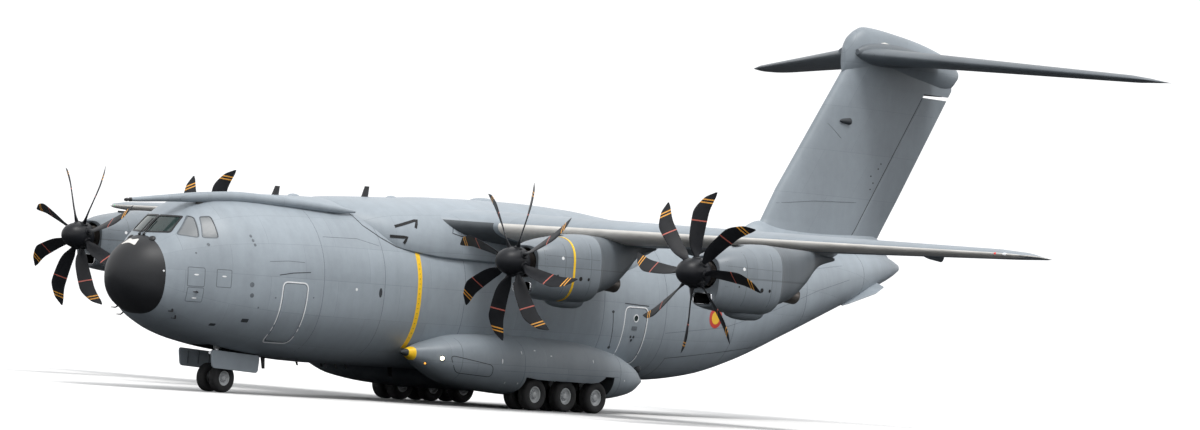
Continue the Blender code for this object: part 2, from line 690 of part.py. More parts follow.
def build_nacelles():
    for name, l, s0, sense in ENGINES:
        side = "left" if l > 0 else "right"
        rings = []
        for aft, w, top, bottom, zc in NACELLE:
            ring = []
            for k in range(12):
                t = 2 * pi * (k + 0.5) / 12
                c, z = cos(t), sin(t)
                b = top - zc if z > 0 else zc - bottom
                r = ((abs(c) / w) ** 2.3 + (abs(z) / b) ** 2.3) ** (-1 / 2.3)
                ring.append(P(l + r * c, s0 + aft, zc + r * z))
            rings.append(ring)
        # engine bay, open at the front behind the spinner
        for aft in (0.50, 4.35):
            rings.insert(0, [P(l + 0.5 * cos(2 * pi * (k + 0.5) / 12), s0 + aft,
                               ENGINE_AXIS_H + 0.5 * sin(2 * pi * (k + 0.5) / 12)) for k in range(12)])
        body = new_object(f"nacelle_{name}", loft(rings), GREY)
        boolean(body, bpy.data.objects[f"cut_wing_{side}"])
        intake = box((l - 0.36, l + 0.36), (s0 + 0.3, s0 + 1.5), (4.02, 4.34))
        boolean(body, cutter(f"cut_intake_{name}", intake))
        block = lathe(((0.30, 0.16), (0.60, 0.18), (0.62, 0.40), (4.20, 0.40)),
                      (l, s0, ENGINE_AXIS_H), (0, 1, 0), 12)
        new_object(f"engine_{name}", block, STEEL)


def blade_mesh(angle, sense, centre):
    """One curved blade, standing on the hub at an angle about the shaft."""
    turn = Matrix.Rotation(angle, 3, "Y")
    rings = []
    for radius, chord, sweep, pitch in BLADE:
        p = radians(pitch)
        # chordwise runs from the leading edge; tangential is +X for a blade standing up
        along = Vector((cos(p) * sense, sin(p), 0))
        thick = Vector((-sin(p) * sense, cos(p), 0))
        ring = []
        for x, z in ((-0.5, 0.0), (-0.12, 0.06), (0.5, 0.0), (-0.12, -0.04)):
            # the blade is swept back against its turning at the tip
            point = along * (x * chord - sweep) + thick * (z * chord + 0.0) + Vector((0, 0, radius))
            if radius > 2.6:
                point.z = 2.665
            ring.append(centre + (turn @ point) * SCALE)
        rings.append(ring)
    return loft(rings)


def build_propellers():
    for name, l, s0, sense in ENGINES:
        profile = [(-0.74, 0.08), (-0.60, 0.29), (-0.30, 0.44), (0.28, SPINNER_R)]
        # the hub turns about the shaft, so its origin lies on the shaft
        hub = lathe(profile, (l, s0, ENGINE_AXIS_H), (0, 1, 0), 10)
        centre = P(l, s0, ENGINE_AXIS_H)
        prop = new_object(f"propeller_{name}", hub, DARK, origin=centre)
        for k in range(8):
            angle = 2 * pi * (k + PROP_PHASE[name]) / 8
            blade = cutter(f"join_blade_{name}_{k}", blade_mesh(angle, sense, centre))
            boolean(prop, blade, "UNION")


# share of a blade spacing by which each propeller is turned at rest
PROP_PHASE = {"left_outboard": 0.12, "left_inboard": 0.35, "right_inboard": 0.2, "right_outboard": 0.55}


# ------------------------------------------------------------ build: tail
def tail_place(l, side):
    s0, chord, h, ratio = linear(TAILPLANE, l)

    def place(x, z):
        return P(side * l, s0 + x * chord, h + z * chord)
    return place, ratio, chord


def fin_place(h):
    s0, chord, ratio = linear(FIN, h)

    def place(x, z):
        return P(z * chord, s0 + x * chord, h)
    return place, ratio * 2, chord


def build_tail():
    hull_cut = bpy.data.objects["cut_fuselage_hull"]
    # fin, cut away behind for the rudder
    low, high = RUDDER_H
    below, above = low - RUDDER_GAP[0], high + RUDDER_GAP[1]
    rings = []
    cuts = [(h, 0.95) for h in breaks(FIN, FIN[0][0], below)]
    cuts += [(h, RUDDER_HINGE) for h in breaks(FIN, below + STEP, above - STEP)]
    cuts += [(h, 0.955) for h in (above, FIN[-1][0] - 0.03)]
    for h, end in cuts:
        place, ratio, chord = fin_place(h)
        last = end if end > 0.8 else end - thickness(end) * ratio - CLEAR / chord
        rings.append(surface_ring(place, ratio, 0.68, last))
    fin = new_object("fin", loft(rings), GREY)
    boolean(fin, hull_cut)
    bm = flap_mesh(fin_place, breaks(FIN, low, high), RUDDER_HINGE)
    ends = [fin_place(h)[0](RUDDER_HINGE, 0) for h in (low, high)]
    new_object("rudder", bm, GREY, origin=(ends[0] + ends[1]) / 2)
    AXES["rudder"] = (tuple((ends[0] + ends[1]) / 2), tuple((ends[1] - ends[0]).normalized()))

    # fairing on top of the fin
    rings, cut_rings = [], []
    for grow, out in ((0.0, rings), (FIT, cut_rings)):
        for s, w, top, bottom in FIN_CAP:
            zc = (top + bottom) / 2
            ring = []
            for k in range(12):
                t = 2 * pi * (k + 0.5) / 12
                c, z = cos(t), sin(t)
                r = ((abs(c) / (w + grow)) ** 2.4 + (abs(z) / (top - zc + grow)) ** 2.4) ** (-1 / 2.4)
                ring.append(P(r * c, s, zc + r * z))
            out.append(ring)
    cap = new_object("fin_cap", loft(rings), GREY)
    fin_top = cutter("cut_fin_top", loft([surface_ring(*fin_place(h)[:2], 0.68, 0.955, 0.0012) for h in (12.5, 12.972)]))
    boolean(cap, fin_top)
    # tailplane: one piece through the cap
    rings = []
    (inner, outer), gap = ELEVATOR_L, END_GAP
    half = [(l, 1.0) for l in breaks(TAILPLANE, 0.0, inner - gap)]
    half += [(l, ELEVATOR_HINGE) for l in breaks(TAILPLANE, inner - gap + STEP, outer + gap - STEP)]
    half += [(l, 1.0) for l in breaks(TAILPLANE, outer + gap, TAILPLANE[-1][0])]
    table = [(-l, end) for l, end in reversed(half[1:])] + half
    for grow, out in ((0.0, []), (0.0015, [])):
        for l, end in table:
            place, ratio, chord = tail_place(abs(l), 1 if l >= 0 else -1)
            last = end if end == 1.0 else end - thickness(end) * ratio - CLEAR / chord
            out.append(surface_ring(place, ratio, 0.64, last, grow))
        if grow == 0.0:
            new_object("tailplane", loft(out), GREY)
        else:
            boolean(cap, cutter("cut_tailplane", loft(out)))
    for side, name in ((1, "left"), (-1, "right")):
        l0, l1 = ELEVATOR_L
        bm = flap_mesh(lambda q: tail_place(q, side), breaks(TAILPLANE, l0, l1), ELEVATOR_HINGE)
        ends = [tail_place(l, side)[0](ELEVATOR_HINGE, 0) for l in (l0, l1)]
        new_object(f"elevator_{name}", bm, GREY, origin=(ends[0] + ends[1]) / 2)
        AXES[f"elevator_{name}"] = (tuple((ends[0] + ends[1]) / 2), tuple((ends[1] - ends[0]).normalized()))
        # strake low on the tail
        rows = []
        for s, out_l, w in ((36.6, 1.25, 0.05), (38.2, 1.55, 0.05), (38.9, 1.35, 0.04)):
            hw, top, bottom, zc = fuselage_at(s)
            h = bottom + 0.32
            rows.append([P(side * 0.3, s, h + 0.30 - w), P(side * out_l, s, h - 0.10 - w),
                         P(side * out_l, s, h - 0.10 + w), P(side * 0.3, s, h + 0.30 + w)])
        strake = new_object(f"tail_strake_{name}", loft(rows), GREY, smooth=0)
        boolean(strake, hull_cut)


# ------------------------------------------------------------ build: gear
def twin_profile(radius, width, half_gap, axle_r, rim_r):
    """Half-profile of two tyres joined by their axle, from one side to the other."""
    side = [
        (half_gap + width * 0.95, rim_r), (half_gap + width, radius * 0.82),
        (half_gap + width * 0.82, radius), (half_gap + width * 0.18, radius),
        (half_gap, axle_r),
    ]
    return [(-a, r) for a, r in side] + [(a, r) for a, r in reversed(side)]


def build_wheels(name, l, s, radius, width, half_gap, axle_r, rim_r):
    h = radius * cos(pi / TYRE_SIDES)
    profile = twin_profile(radius, width, half_gap, axle_r, rim_r)
    bm = lathe(profile, (l, s, h), (1, 0, 0), TYRE_SIDES)
    return new_object(name, bm, TYRE, origin=P(l, s, h))


def build_sponsons():
    hull_cut = bpy.data.objects["cut_fuselage_hull"]
    for side, name in ((1, "left"), (-1, "right")):
        rings = []
        for s, lc, hc, w, up, down in SPONSON:
            ring = []
            for k in range(14):
                t = 2 * pi * (k + 0.5) / 14
                c, z = cos(t), sin(t)
                b = up if z > 0 else down
                r = ((abs(c) / w) ** 2.5 + (abs(z) / b) ** 2.5) ** (-1 / 2.5)
                ring.append(P(side * (lc + r * c), s, hc + r * z))
            rings.append(ring)
        sponson = new_object(f"sponson_{name}", loft(rings), GREY)
        boolean(sponson, hull_cut)
        bay = sorted((side * 2.36, side * 3.80))
        boolean(sponson, cutter(f"cut_wheel_bay_{name}", box(bay, (16.20, 20.90), (0.0, 1.30))))

        # legs: a beam under the bay roof carries three trailing arms with their bearings
        centre = side * MAIN_TRACK_L
        beam = box((centre - 0.10, centre + 0.10), (16.30, 20.80), (1.12, 1.298))
        legs = new_object(f"main_gear_legs_{name}", beam, STEEL, smooth=0)
        axle_h = MAIN_TYRE_R * cos(pi / TYRE_SIDES)
        for number, s in enumerate(MAIN_GEAR_S, 1):
            outline = [(s + a, h) for a, h in (
                (-0.42, 1.20), (-0.20, axle_h + 0.25), (-0.18, axle_h - 0.07), (-0.07, axle_h - 0.18),
                (0.07, axle_h - 0.18), (0.18, axle_h - 0.07), (0.18, axle_h + 0.07),
                (0.05, axle_h + 0.25), (-0.16, 1.20))]
            arm = prism(outline, centre - 0.085, centre + 0.085)
            boolean(legs, cutter(f"join_arm_{number}_{name}", arm), "UNION")
            bore = tube((centre - 0.3, s, axle_h), (centre + 0.3, s, axle_h), 0.118, 8)
            boolean(legs, cutter(f"cut_bearing_{number}_{name}", bore))
            build_wheels(f"main_wheels_{name}_{number}", centre, s, MAIN_TYRE_R, MAIN_TYRE_W,
                         0.12, 0.095, 0.27)


def build_nose_gear():
    s, axle_h = NOSE_GEAR_S, NOSE_TYRE_R * cos(pi / TYRE_SIDES)
    # fixed upper leg up to the cockpit floor, with a drag brace
    top = COCKPIT_FLOOR_H - 0.10 - FIT
    leg = new_object("nose_gear_leg", tube((0, s, 1.42), (0, s, top), 0.13, 10), STEEL)
    boolean(leg, cutter("join_nose_brace", tube((0, s, 1.75), (0, s - 0.90, top - 0.10), 0.06, 6)), "UNION")
    # steered lower leg with its fork block and bearing
    steer = new_object("nose_steering", tube((0, s, axle_h), (0, s, 1.42 - CLEAR / 2), 0.085, 8), STEEL,
                       origin=P(0, s, 0.9))
    collar = tube((0, s, 1.22), (0, s, 1.36), 0.16, 10)
    boolean(steer, cutter("join_steer_collar", collar), "UNION")
    bearing = tube((-0.085, s, axle_h), (0.085, s, axle_h), 0.15, 8)
    boolean(steer, cutter("join_nose_bearing", bearing), "UNION")
    bore = tube((-0.3, s, axle_h), (0.3, s, axle_h), 0.101, 8)
    boolean(steer, cutter("cut_nose_bearing", bore))
    build_wheels("nose_wheels", 0, s, NOSE_TYRE_R, NOSE_TYRE_W, 0.12, 0.08, 0.23)

    # doors that stand open on both sides of the bay
    for side, name in ((1, "left"), (-1, "right")):
        outline = [(3.95, 1.40), (6.25, 1.28), (6.20, 0.70), (4.05, 0.80)]
        l0 = side * (BAY_L[1] + 0.012)
        door = prism(outline, l0, l0 + side * 0.06)
        obj = new_object(f"nose_gear_door_{name}", door, GREY, smooth=0)
        boolean(obj, bpy.data.objects["cut_fuselage_hull"])


def main():
    clear_scene()
    build_fuselage()
    build_doors()
    build_cockpit()
    build_wing()
    build_nacelles()
    build_propellers()
    build_tail()
    build_sponsons()
    build_nose_gear()


main()
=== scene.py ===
"""Looks of the high-wing military transport plane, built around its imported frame.

Sizes are full-size metres, as in the model's own tables, and P() halves them:
l to port, s aft from the nose tip, h up from the ground.
"""

from math import acos, cos, pi, radians, sin, sqrt

import bmesh
import bpy
import numpy as np
from mathutils import Matrix, Vector


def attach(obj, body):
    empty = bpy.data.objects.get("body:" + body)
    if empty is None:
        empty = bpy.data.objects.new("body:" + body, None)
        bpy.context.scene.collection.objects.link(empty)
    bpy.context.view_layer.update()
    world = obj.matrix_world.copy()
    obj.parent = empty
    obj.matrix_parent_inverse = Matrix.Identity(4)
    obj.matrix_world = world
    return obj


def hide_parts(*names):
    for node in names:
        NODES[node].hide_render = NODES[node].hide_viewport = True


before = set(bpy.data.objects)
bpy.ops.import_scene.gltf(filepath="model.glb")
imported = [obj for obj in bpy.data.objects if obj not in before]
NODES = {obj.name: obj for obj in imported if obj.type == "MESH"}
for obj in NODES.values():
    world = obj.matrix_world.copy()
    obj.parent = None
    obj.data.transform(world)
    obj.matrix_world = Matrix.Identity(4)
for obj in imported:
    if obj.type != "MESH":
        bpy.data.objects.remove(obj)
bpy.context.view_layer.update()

# ------------------------------------------------------------ sizes and tables
SCALE, MID = 0.5, 22.671
WALL, CLEAR, END_GAP, ROOT_GAP, STEP = 0.14, 0.020, 0.060, 0.095, 0.002
RUDDER_GAP = (0.095, 0.145)
TIP_H, RADOME_S, NOSE_END_S, CENTRE_END_S, REAR_END_S, CONE_END_S = 3.68, 1.15, 6.90, 24.60, 37.60, 41.20
HOLD_FLOOR_H, COCKPIT_FLOOR_H = 2.05, 3.80
RAMP_SILL = ((25.20, 2.05), (31.00, 2.66))
RAMP_END = ((31.22, 2.36), (30.90, 2.70))
DOOR_S1, DOOR_DEPTH, DOOR_HALF = 37.30, 0.30, (1.46, 0.68)
CREW_DOOR_S, CREW_DOOR_H = (5.22, 6.26), (1.78, 3.74)
PARA_DOOR_S, PARA_DOOR_H = (22.40, 23.56), (1.82, 3.76)
BAY_L, BAY_S = (-0.70, 0.70), (3.90, 6.30)
MAIN_TYRE_R, MAIN_TYRE_W, MAIN_TRACK_L = 0.56, 0.42, 3.08
NOSE_TYRE_R, NOSE_TYRE_W, NOSE_GEAR_S = 0.48, 0.34, 5.00
MAIN_GEAR_S = (16.95, 18.55, 20.15)
MAIN_AXLE_H = MAIN_TYRE_R * cos(pi / 16)
NOSE_AXLE_H = NOSE_TYRE_R * cos(pi / 16)
ENGINE_AXIS_H, SPINNER_R, NACELLE_POWER = 4.98, 0.48, 2.9

# station, half-width, top, bottom, height of the widest point
FUSELAGE = (
    (1.15, 1.24, 4.97, 2.41, 3.67),
    (1.60, 1.58, 5.40, 2.18, 3.68),
    (2.10, 1.84, 5.82, 1.98, 3.70),
    (2.70, 2.11, 6.19, 1.78, 3.74),
    (3.50, 2.36, 6.45, 1.60, 3.79),
    (5.00, 2.62, 6.57, 1.39, 3.86),
    (7.00, 2.74, 6.65, 1.23, 3.90),
    (9.00, 2.78, 6.70, 1.14, 3.92),
    (24.0, 2.78, 6.70, 1.14, 3.92),
    (26.0, 2.77, 6.70, 1.20, 3.95),
    (28.0, 2.72, 6.70, 1.42, 4.05),
    (30.0, 2.60, 6.70, 1.92, 4.25),
    (33.0, 2.26, 6.70, 2.97, 4.75),
    (36.0, 1.74, 6.68, 4.02, 5.30),
    (38.5, 1.20, 6.62, 4.88, 5.70),
    (40.3, 0.70, 6.45, 5.52, 5.95),
    (41.2, 0.26, 6.20, 5.86, 6.02),
)
# station, half-width, top, base height, power
WING_FAIRING = (
    (8.60, 0.95, 6.62, 6.05, 2.0),
    (9.60, 1.90, 6.76, 5.68, 2.1),
    (11.0, 2.55, 6.84, 5.24, 2.3),
    (13.0, 2.72, 6.93, 5.08, 2.6),
    (15.0, 2.76, 7.05, 5.06, 2.8),
    (18.5, 2.76, 7.11, 5.06, 2.8),
    (21.0, 2.74, 7.05, 5.06, 2.6),
    (23.0, 2.50, 6.92, 5.20, 2.3),
    (25.0, 1.70, 6.76, 5.80, 2.1),
    (26.0, 1.00, 6.66, 6.15, 2.0),
)
# station, centre l, centre h, half-width, rise, drop
SPONSON = (
    (11.00, 2.66, 1.72, 0.04, 0.03, 0.03),
    (11.25, 2.65, 1.72, 0.14, 0.11, 0.12),
    (11.45, 2.64, 1.71, 0.23, 0.18, 0.20),
    (11.65, 2.63, 1.70, 0.33, 0.25, 0.28),
    (12.30, 2.59, 1.66, 0.66, 0.47, 0.53),
    (13.50, 2.55, 1.60, 1.03, 0.80, 0.86),
    (15.20, 2.50, 1.52, 1.28, 0.98, 0.98),
    (17.00, 2.48, 1.46, 1.38, 1.04, 1.00),
    (19.50, 2.48, 1.44, 1.38, 1.00, 1.00),
    (21.20, 2.48, 1.40, 1.20, 0.82, 0.92),
    (22.60, 2.48, 1.30, 0.78, 0.50, 0.62),
    (23.70, 2.48, 1.20, 0.10, 0.07, 0.08),
)
# l, leading-edge station, chord, chord-line height, thickness ratio
WING = (
    (0.90, 13.60, 7.75, 6.16, 0.145),
    (2.80, 14.05, 7.20, 6.16, 0.145),
    (7.00, 15.40, 6.05, 6.20, 0.140),
    (14.3, 17.73, 4.12, 6.26, 0.130),
    (20.3, 19.68, 2.62, 6.30, 0.120),
    (20.9, 19.95, 2.28, 6.30, 0.100),
    (21.2, 20.35, 1.70, 6.30, 0.060),
)
# name, inner l, outer l, hinge fraction, hinge drop
TRAILING = (
    ("inboard_flap", 3.06, 8.60, 0.74, 0.62),
    ("outboard_flap", 8.68, 15.30, 0.74, 0.42),
    ("aileron", 15.38, 20.20, 0.75, 0.0),
)
HINGE_FAIRINGS = ((4.60, 0.62), (8.10, 0.56), (9.90, 0.50), (12.30, 0.46), (17.30, 0.30))
# chord fraction, share of the depth, half-width
FAIRING_FIXED = ((0.33, 0.06, 0.015), (0.36, 0.30, 0.04), (0.44, 0.62, 0.09), (0.55, 0.88, 0.13), (0.735, 1.00, 0.14))
FAIRING_MOVING = ((0.745, 1.00, 0.14), (0.85, 0.92, 0.13), (0.96, 0.66, 0.09), (1.03, 0.34, 0.045), (1.05, 0.25, 0.02))
TAILPLANE = (
    (0.00, 37.30, 5.15, 13.95, 0.12),
    (0.62, 37.72, 4.94, 13.93, 0.12),
    (8.70, 42.95, 2.38, 13.66, 0.11),
    (9.44, 43.55, 1.70, 13.63, 0.07),
)
ELEVATOR_L, ELEVATOR_HINGE = (0.72, 8.66), 0.70
FIN = (
    (6.30, 31.60, 7.90, 0.055),
    (7.35, 33.00, 7.20, 0.058),
    (8.60, 33.78, 7.30, 0.058),
    (13.0, 37.05, 7.00, 0.058),
)
RUDDER_H, RUDDER_HINGE = (7.08, 12.60), 0.765
FIN_CAP = (
    (37.20, 0.10, 14.10, 13.20),
    (37.55, 0.34, 14.62, 13.05),
    (38.35, 0.46, 14.99, 12.95),
    (40.70, 0.50, 14.80, 12.90),
    (43.00, 0.36, 14.40, 12.92),
    (44.00, 0.18, 14.02, 13.10),
    (44.40, 0.05, 13.75, 13.45),
)
# aft of the propeller plane, half-width, top, bottom, widest
NACELLE = (
    (0.50, 0.64, 5.56, 3.90, 4.95),
    (1.00, 0.82, 5.74, 3.82, 4.92),
    (1.80, 0.96, 5.90, 3.76, 4.90),
    (2.90, 1.02, 6.05, 3.75, 4.90),
    (3.26, 1.01, 6.06, 3.80, 4.93),
    (3.52, 0.86, 6.05, 3.98, 4.98),
    (4.50, 0.68, 6.02, 4.30, 5.14),
    (5.40, 0.46, 6.00, 4.86, 5.44),
    (5.90, 0.28, 5.98, 5.26, 5.62),
    (6.40, 0.12, 5.92, 5.54, 5.73),
    (7.20, 0.03, 5.84, 5.74, 5.79),
)
ENGINES = (
    ("left_outboard", 14.28, 12.10, 1),
    ("left_inboard", 7.02, 11.50, -1),
    ("right_inboard", -7.02, 11.50, 1),
    ("right_outboard", -14.28, 12.10, -1),
)
PROP_PHASE = {"left_outboard": 0.12, "left_inboard": 0.35, "right_inboard": 0.2, "right_outboard": 0.55}
# radius, chord, sweep, pitch
# refuelling boom on the roof: station, l, height, radius
REFUEL_BOOM = (
    (0.02, 0.25, 6.05, 0.050),
    (0.25, 0.29, 6.07, 0.065),
    (1.60, 0.51, 6.21, 0.115),
    (3.15, 0.75, 6.35, 0.170),
    (4.60, 0.97, 6.44, 0.175),
    (6.20, 1.30, 6.41, 0.165),
    (7.60, 1.53, 6.35, 0.150),
    (8.60, 1.66, 6.30, 0.115),
    (9.35, 1.68, 6.28, 0.040),
)
BLADE = (
    (0.34, 0.28, 0.00, 62.0),
    (1.15, 0.48, 0.11, 51.0),
    (1.90, 0.52, 0.08, 43.0),
    (2.42, 0.36, -0.13, 39.0),
    (2.665, 0.12, -0.34, 37.0),
)
WINDSCREEN = ((0.05, 5.11), (0.05, 5.63), (0.78, 5.63), (0.84, 5.14))
SIDE_WINDOWS = (
    ((1.71, 5.07), (2.23, 5.02), (2.38, 5.65), (2.28, 5.69)),
    ((2.34, 5.03), (2.82, 5.05), (2.87, 5.72), (2.55, 5.68)),
)
SIDES = 112
SIDE_NAMES = ((1, "left"), (-1, "right"))


def P(l, s, h):
    return Vector((l * SCALE, (s - MID) * SCALE, h * SCALE))


def hermite(table, x):
    if x <= table[0][0]:
        return table[0][1:]
    if x >= table[-1][0]:
        return table[-1][1:]
    i = max(k for k in range(len(table) - 1) if table[k][0] <= x)
    x0, x1 = table[i][0], table[i + 1][0]
    t, out = (x - x0) / (x1 - x0), []
    for c in range(1, len(table[0])):
        def slope(k):
            if k <= 0:
                return (table[1][c] - table[0][c]) / (table[1][0] - table[0][0])
            if k >= len(table) - 1:
                return (table[-1][c] - table[-2][c]) / (table[-1][0] - table[-2][0])
            d0 = (table[k][c] - table[k - 1][c]) / (table[k][0] - table[k - 1][0])
            d1 = (table[k + 1][c] - table[k][c]) / (table[k + 1][0] - table[k][0])
            return 0.0 if d0 * d1 <= 0 else 2 * d0 * d1 / (d0 + d1)
        y0, y1 = table[i][c], table[i + 1][c]
        m0, m1 = slope(i) * (x1 - x0), slope(i + 1) * (x1 - x0)
        out.append((2 * t**3 - 3 * t**2 + 1) * y0 + (t**3 - 2 * t**2 + t) * m0
                   + (-2 * t**3 + 3 * t**2) * y1 + (t**3 - t**2) * m1)
    return tuple(out)


def linear(table, x):
    x = min(max(x, table[0][0]), table[-1][0])
    for low, high in zip(table, table[1:]):
        if x <= high[0]:
            t = (x - low[0]) / (high[0] - low[0])
            return tuple(a + (b - a) * t for a, b in zip(low[1:], high[1:]))


def spread(low, high, step):
    n = max(1, int(round((high - low) / step)))
    return [low + (high - low) * k / n for k in range(n + 1)]


# ------------------------------------------------------------ mesh building
class Mesh:
    """Gathers rows of points into faces with material numbers."""

    def __init__(self):
        self.v, self.f, self.m = [], [], []

    def rows(self, rows, ring=True, caps=True, closed=False, mat=0, cap_mat=None):
        base, n = len(self.v), len(rows[0])
        for row in rows:
            self.v.extend(tuple(p) for p in row)
        count = len(rows)
        for i in range(count if closed else count - 1):
            a, b = base + i * n, base + ((i + 1) % count) * n
            for j in range(n if ring else n - 1):
                k = (j + 1) % n
                self.f.append((a + j, a + k, b + k, b + j))
                self.m.append(mat(i, j) if callable(mat) else mat)
        if ring and caps and not closed:
            for face, i in ((tuple(range(base + n - 1, base - 1, -1)), 0),
                            (tuple(range(base + (count - 1) * n, base + count * n)), count - 2)):
                self.f.append(face)
                m = mat(i, 0) if callable(mat) else mat
                self.m.append(m if cap_mat is None else cap_mat)
        return self

    def box(self, l, s, h, mat=0):
        ring = [(l[0], h[0]), (l[1], h[0]), (l[1], h[1]), (l[0], h[1])]
        return self.rows([[P(a, st, b) for a, b in ring] for st in s], mat=mat)

    def tube(self, points, radius, sides=16, mat=0, caps=True):
        """A round bar through full-size points; radius is one number or one for each point."""
        pts = [P(*p) for p in points]
        radii = radius if isinstance(radius, (list, tuple)) else [radius] * len(pts)
        rows = []
        last = None
        for i, p in enumerate(pts):
            d = (pts[min(i + 1, len(pts) - 1)] - pts[max(i - 1, 0)])
            if d.length < 1e-9 and i:
                d = last
            last = d
            turn = d.normalized().to_track_quat("Z", "Y").to_matrix()
            rows.append([p + turn @ (Vector((cos(t), sin(t), 0)) * radii[i] * SCALE)
                         for t in (2 * pi * k / sides for k in range(sides))])
        return self.rows(rows, mat=mat, caps=caps)

    def lathe(self, profile, centre, axis, sides, mat=0, closed=False, caps=True):
        """Turn (along, radius) points about an axis through a full-size point."""
        centre = P(*centre)
        turn = Vector(axis).to_track_quat("Z", "Y").to_matrix()
        rows = [[centre + turn @ (Vector((r * cos(t), r * sin(t), a)) * SCALE)
                 for t in (2 * pi * k / sides for k in range(sides))] for a, r in profile]
        return self.rows(rows, mat=mat, closed=closed, caps=caps)

    def make(self, name, materials, smooth=38.0, merge=2e-5):
        mesh = bpy.data.meshes.new(name)
        mesh.from_pydata(self.v, [], self.f)
        for i, mat in enumerate(materials):
            mesh.materials.append(mat)
        mesh.polygons.foreach_set("material_index", self.m)
        bm = bmesh.new()
        bm.from_mesh(mesh)
        if merge:
            bmesh.ops.remove_doubles(bm, verts=bm.verts, dist=merge)
        bmesh.ops.recalc_face_normals(bm, faces=bm.faces)
        bm.to_mesh(mesh)
        bm.free()
        obj = bpy.data.objects.new(name, mesh)
        bpy.context.scene.collection.objects.link(obj)
        polish(obj, smooth)
        return obj


def polish(obj, smooth=38.0):
    if smooth:
        obj.data.shade_smooth()
        obj.data.set_sharp_from_angle(angle=radians(smooth))


def carve(obj, cutter, operation="DIFFERENCE", keep=False):
    """Apply one Boolean and drop its cutter."""
    mod = obj.modifiers.new("carve", "BOOLEAN")
    mod.operation, mod.object, mod.solver = operation, cutter, "EXACT"
    graph = bpy.context.evaluated_depsgraph_get()
    mesh = bpy.data.meshes.new_from_object(obj.evaluated_get(graph))
    obj.modifiers.clear()
    old = obj.data
    obj.data = mesh
    bpy.data.meshes.remove(old)
    if not keep:
        bpy.data.objects.remove(cutter, do_unlink=True)
    return obj


def finish_piece(obj, body="airframe", replaces=(), smooth=38.0):
    if smooth:
        polish(obj, smooth)
    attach(obj, body)
    if replaces:
        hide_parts(*([replaces] if isinstance(replaces, str) else replaces))
    return obj


def rounded(outline, radius, steps=5):
    """A closed outline with its corners turned into arcs."""
    out, n = [], len(outline)
    for i in range(n):
        p = Vector(outline[i]).to_2d() if len(outline[i]) == 2 else Vector(outline[i])
        a, b = Vector(outline[i - 1]), Vector(outline[(i + 1) % n])
        da, db = (a - p), (b - p)
        r = min(radius, da.length * 0.45, db.length * 0.45)
        p0, p1 = p + da.normalized() * r, p + db.normalized() * r
        for k in range(steps + 1):
            t = k / steps
            q = p0 * (1 - t) ** 2 + p * 2 * t * (1 - t) + p1 * t**2
            out.append((q.x, q.y))
    return out


def grown(outline, by):
    """A convex outline moved outwards by an even amount."""
    c = Vector((sum(p[0] for p in outline) / len(outline), sum(p[1] for p in outline) / len(outline)))
    out, n = [], len(outline)
    for i in range(n):
        p, a, b = Vector(outline[i]), Vector(outline[i - 1]), Vector(outline[(i + 1) % n])
        normals = []
        for d in (p - a, b - p):
            q = Vector((d.y, -d.x)).normalized()
            normals.append(q if q.dot(p - c) > 0 else -q)
        m = (normals[0] + normals[1]).normalized()
        out.append(tuple(p + m * by / max(0.35, m.dot(normals[0]))))
    return out


def subdivided(points, step, closed=True):
    out = []
    n = len(points)
    for i in range(n if closed else n - 1):
        a, b = Vector(points[i]), Vector(points[(i + 1) % n])
        k = max(1, int((b - a).length / step))
        out += [tuple(a.lerp(b, j / k)) for j in range(k)]
    if not closed:
        out.append(tuple(points[-1]))
    return out


# ------------------------------------------------------------ materials
def nodes_of(name):
    mat = bpy.data.materials.new(name)
    mat.use_nodes = True
    tree = mat.node_tree
    shader = tree.nodes["Principled BSDF"]
    return mat, tree, shader


def link(tree, a, b):
    tree.links.new(a, b)


def math(tree, op, a, b=None, c=None):
    node = tree.nodes.new("ShaderNodeMath")
    node.operation = op
    for i, value in enumerate((a, b, c)):
        if value is None:
            continue
        if isinstance(value, (int, float)):
            node.inputs[i].default_value = value
        else:
            tree.links.new(value, node.inputs[i])
    return node.outputs[0]


def noise(tree, source, scale, stretch=(1, 1, 1), detail=4.0, rough=0.55, shift=(0, 0, 0)):
    mapping = tree.nodes.new("ShaderNodeMapping")
    mapping.inputs["Scale"].default_value = stretch
    mapping.inputs["Location"].default_value = shift
    link(tree, source, mapping.inputs["Vector"])
    node = tree.nodes.new("ShaderNodeTexNoise")
    node.inputs["Scale"].default_value = scale
    node.inputs["Detail"].default_value = detail
    node.inputs["Roughness"].default_value = rough
    link(tree, mapping.outputs[0], node.inputs["Vector"])
    return node.outputs["Fac"]


def ramp(tree, fac, stops):
    node = tree.nodes.new("ShaderNodeValToRGB")
    items = node.color_ramp.elements
    while len(items) < len(stops):
        items.new(0.5)
    for item, (place, colour) in zip(items, stops):
        item.position = place
        item.color = (*colour, 1.0) if len(colour) == 3 else colour
    link(tree, fac, node.inputs[0])
    return node.outputs[0]


def mixed(tree, fac, a, b):
    node = tree.nodes.new("ShaderNodeMix")
    node.data_type = "RGBA"
    for socket, value in ((node.inputs[0], fac), (node.inputs[6], a), (node.inputs[7], b)):
        if isinstance(value, (int, float)):
            socket.default_value = value
        elif isinstance(value, tuple):
            socket.default_value = (*value, 1.0)
        else:
            link(tree, value, socket)
    return node.outputs[2]


def shade(colour, k):
    return tuple(min(1.0, c * k) for c in colour)


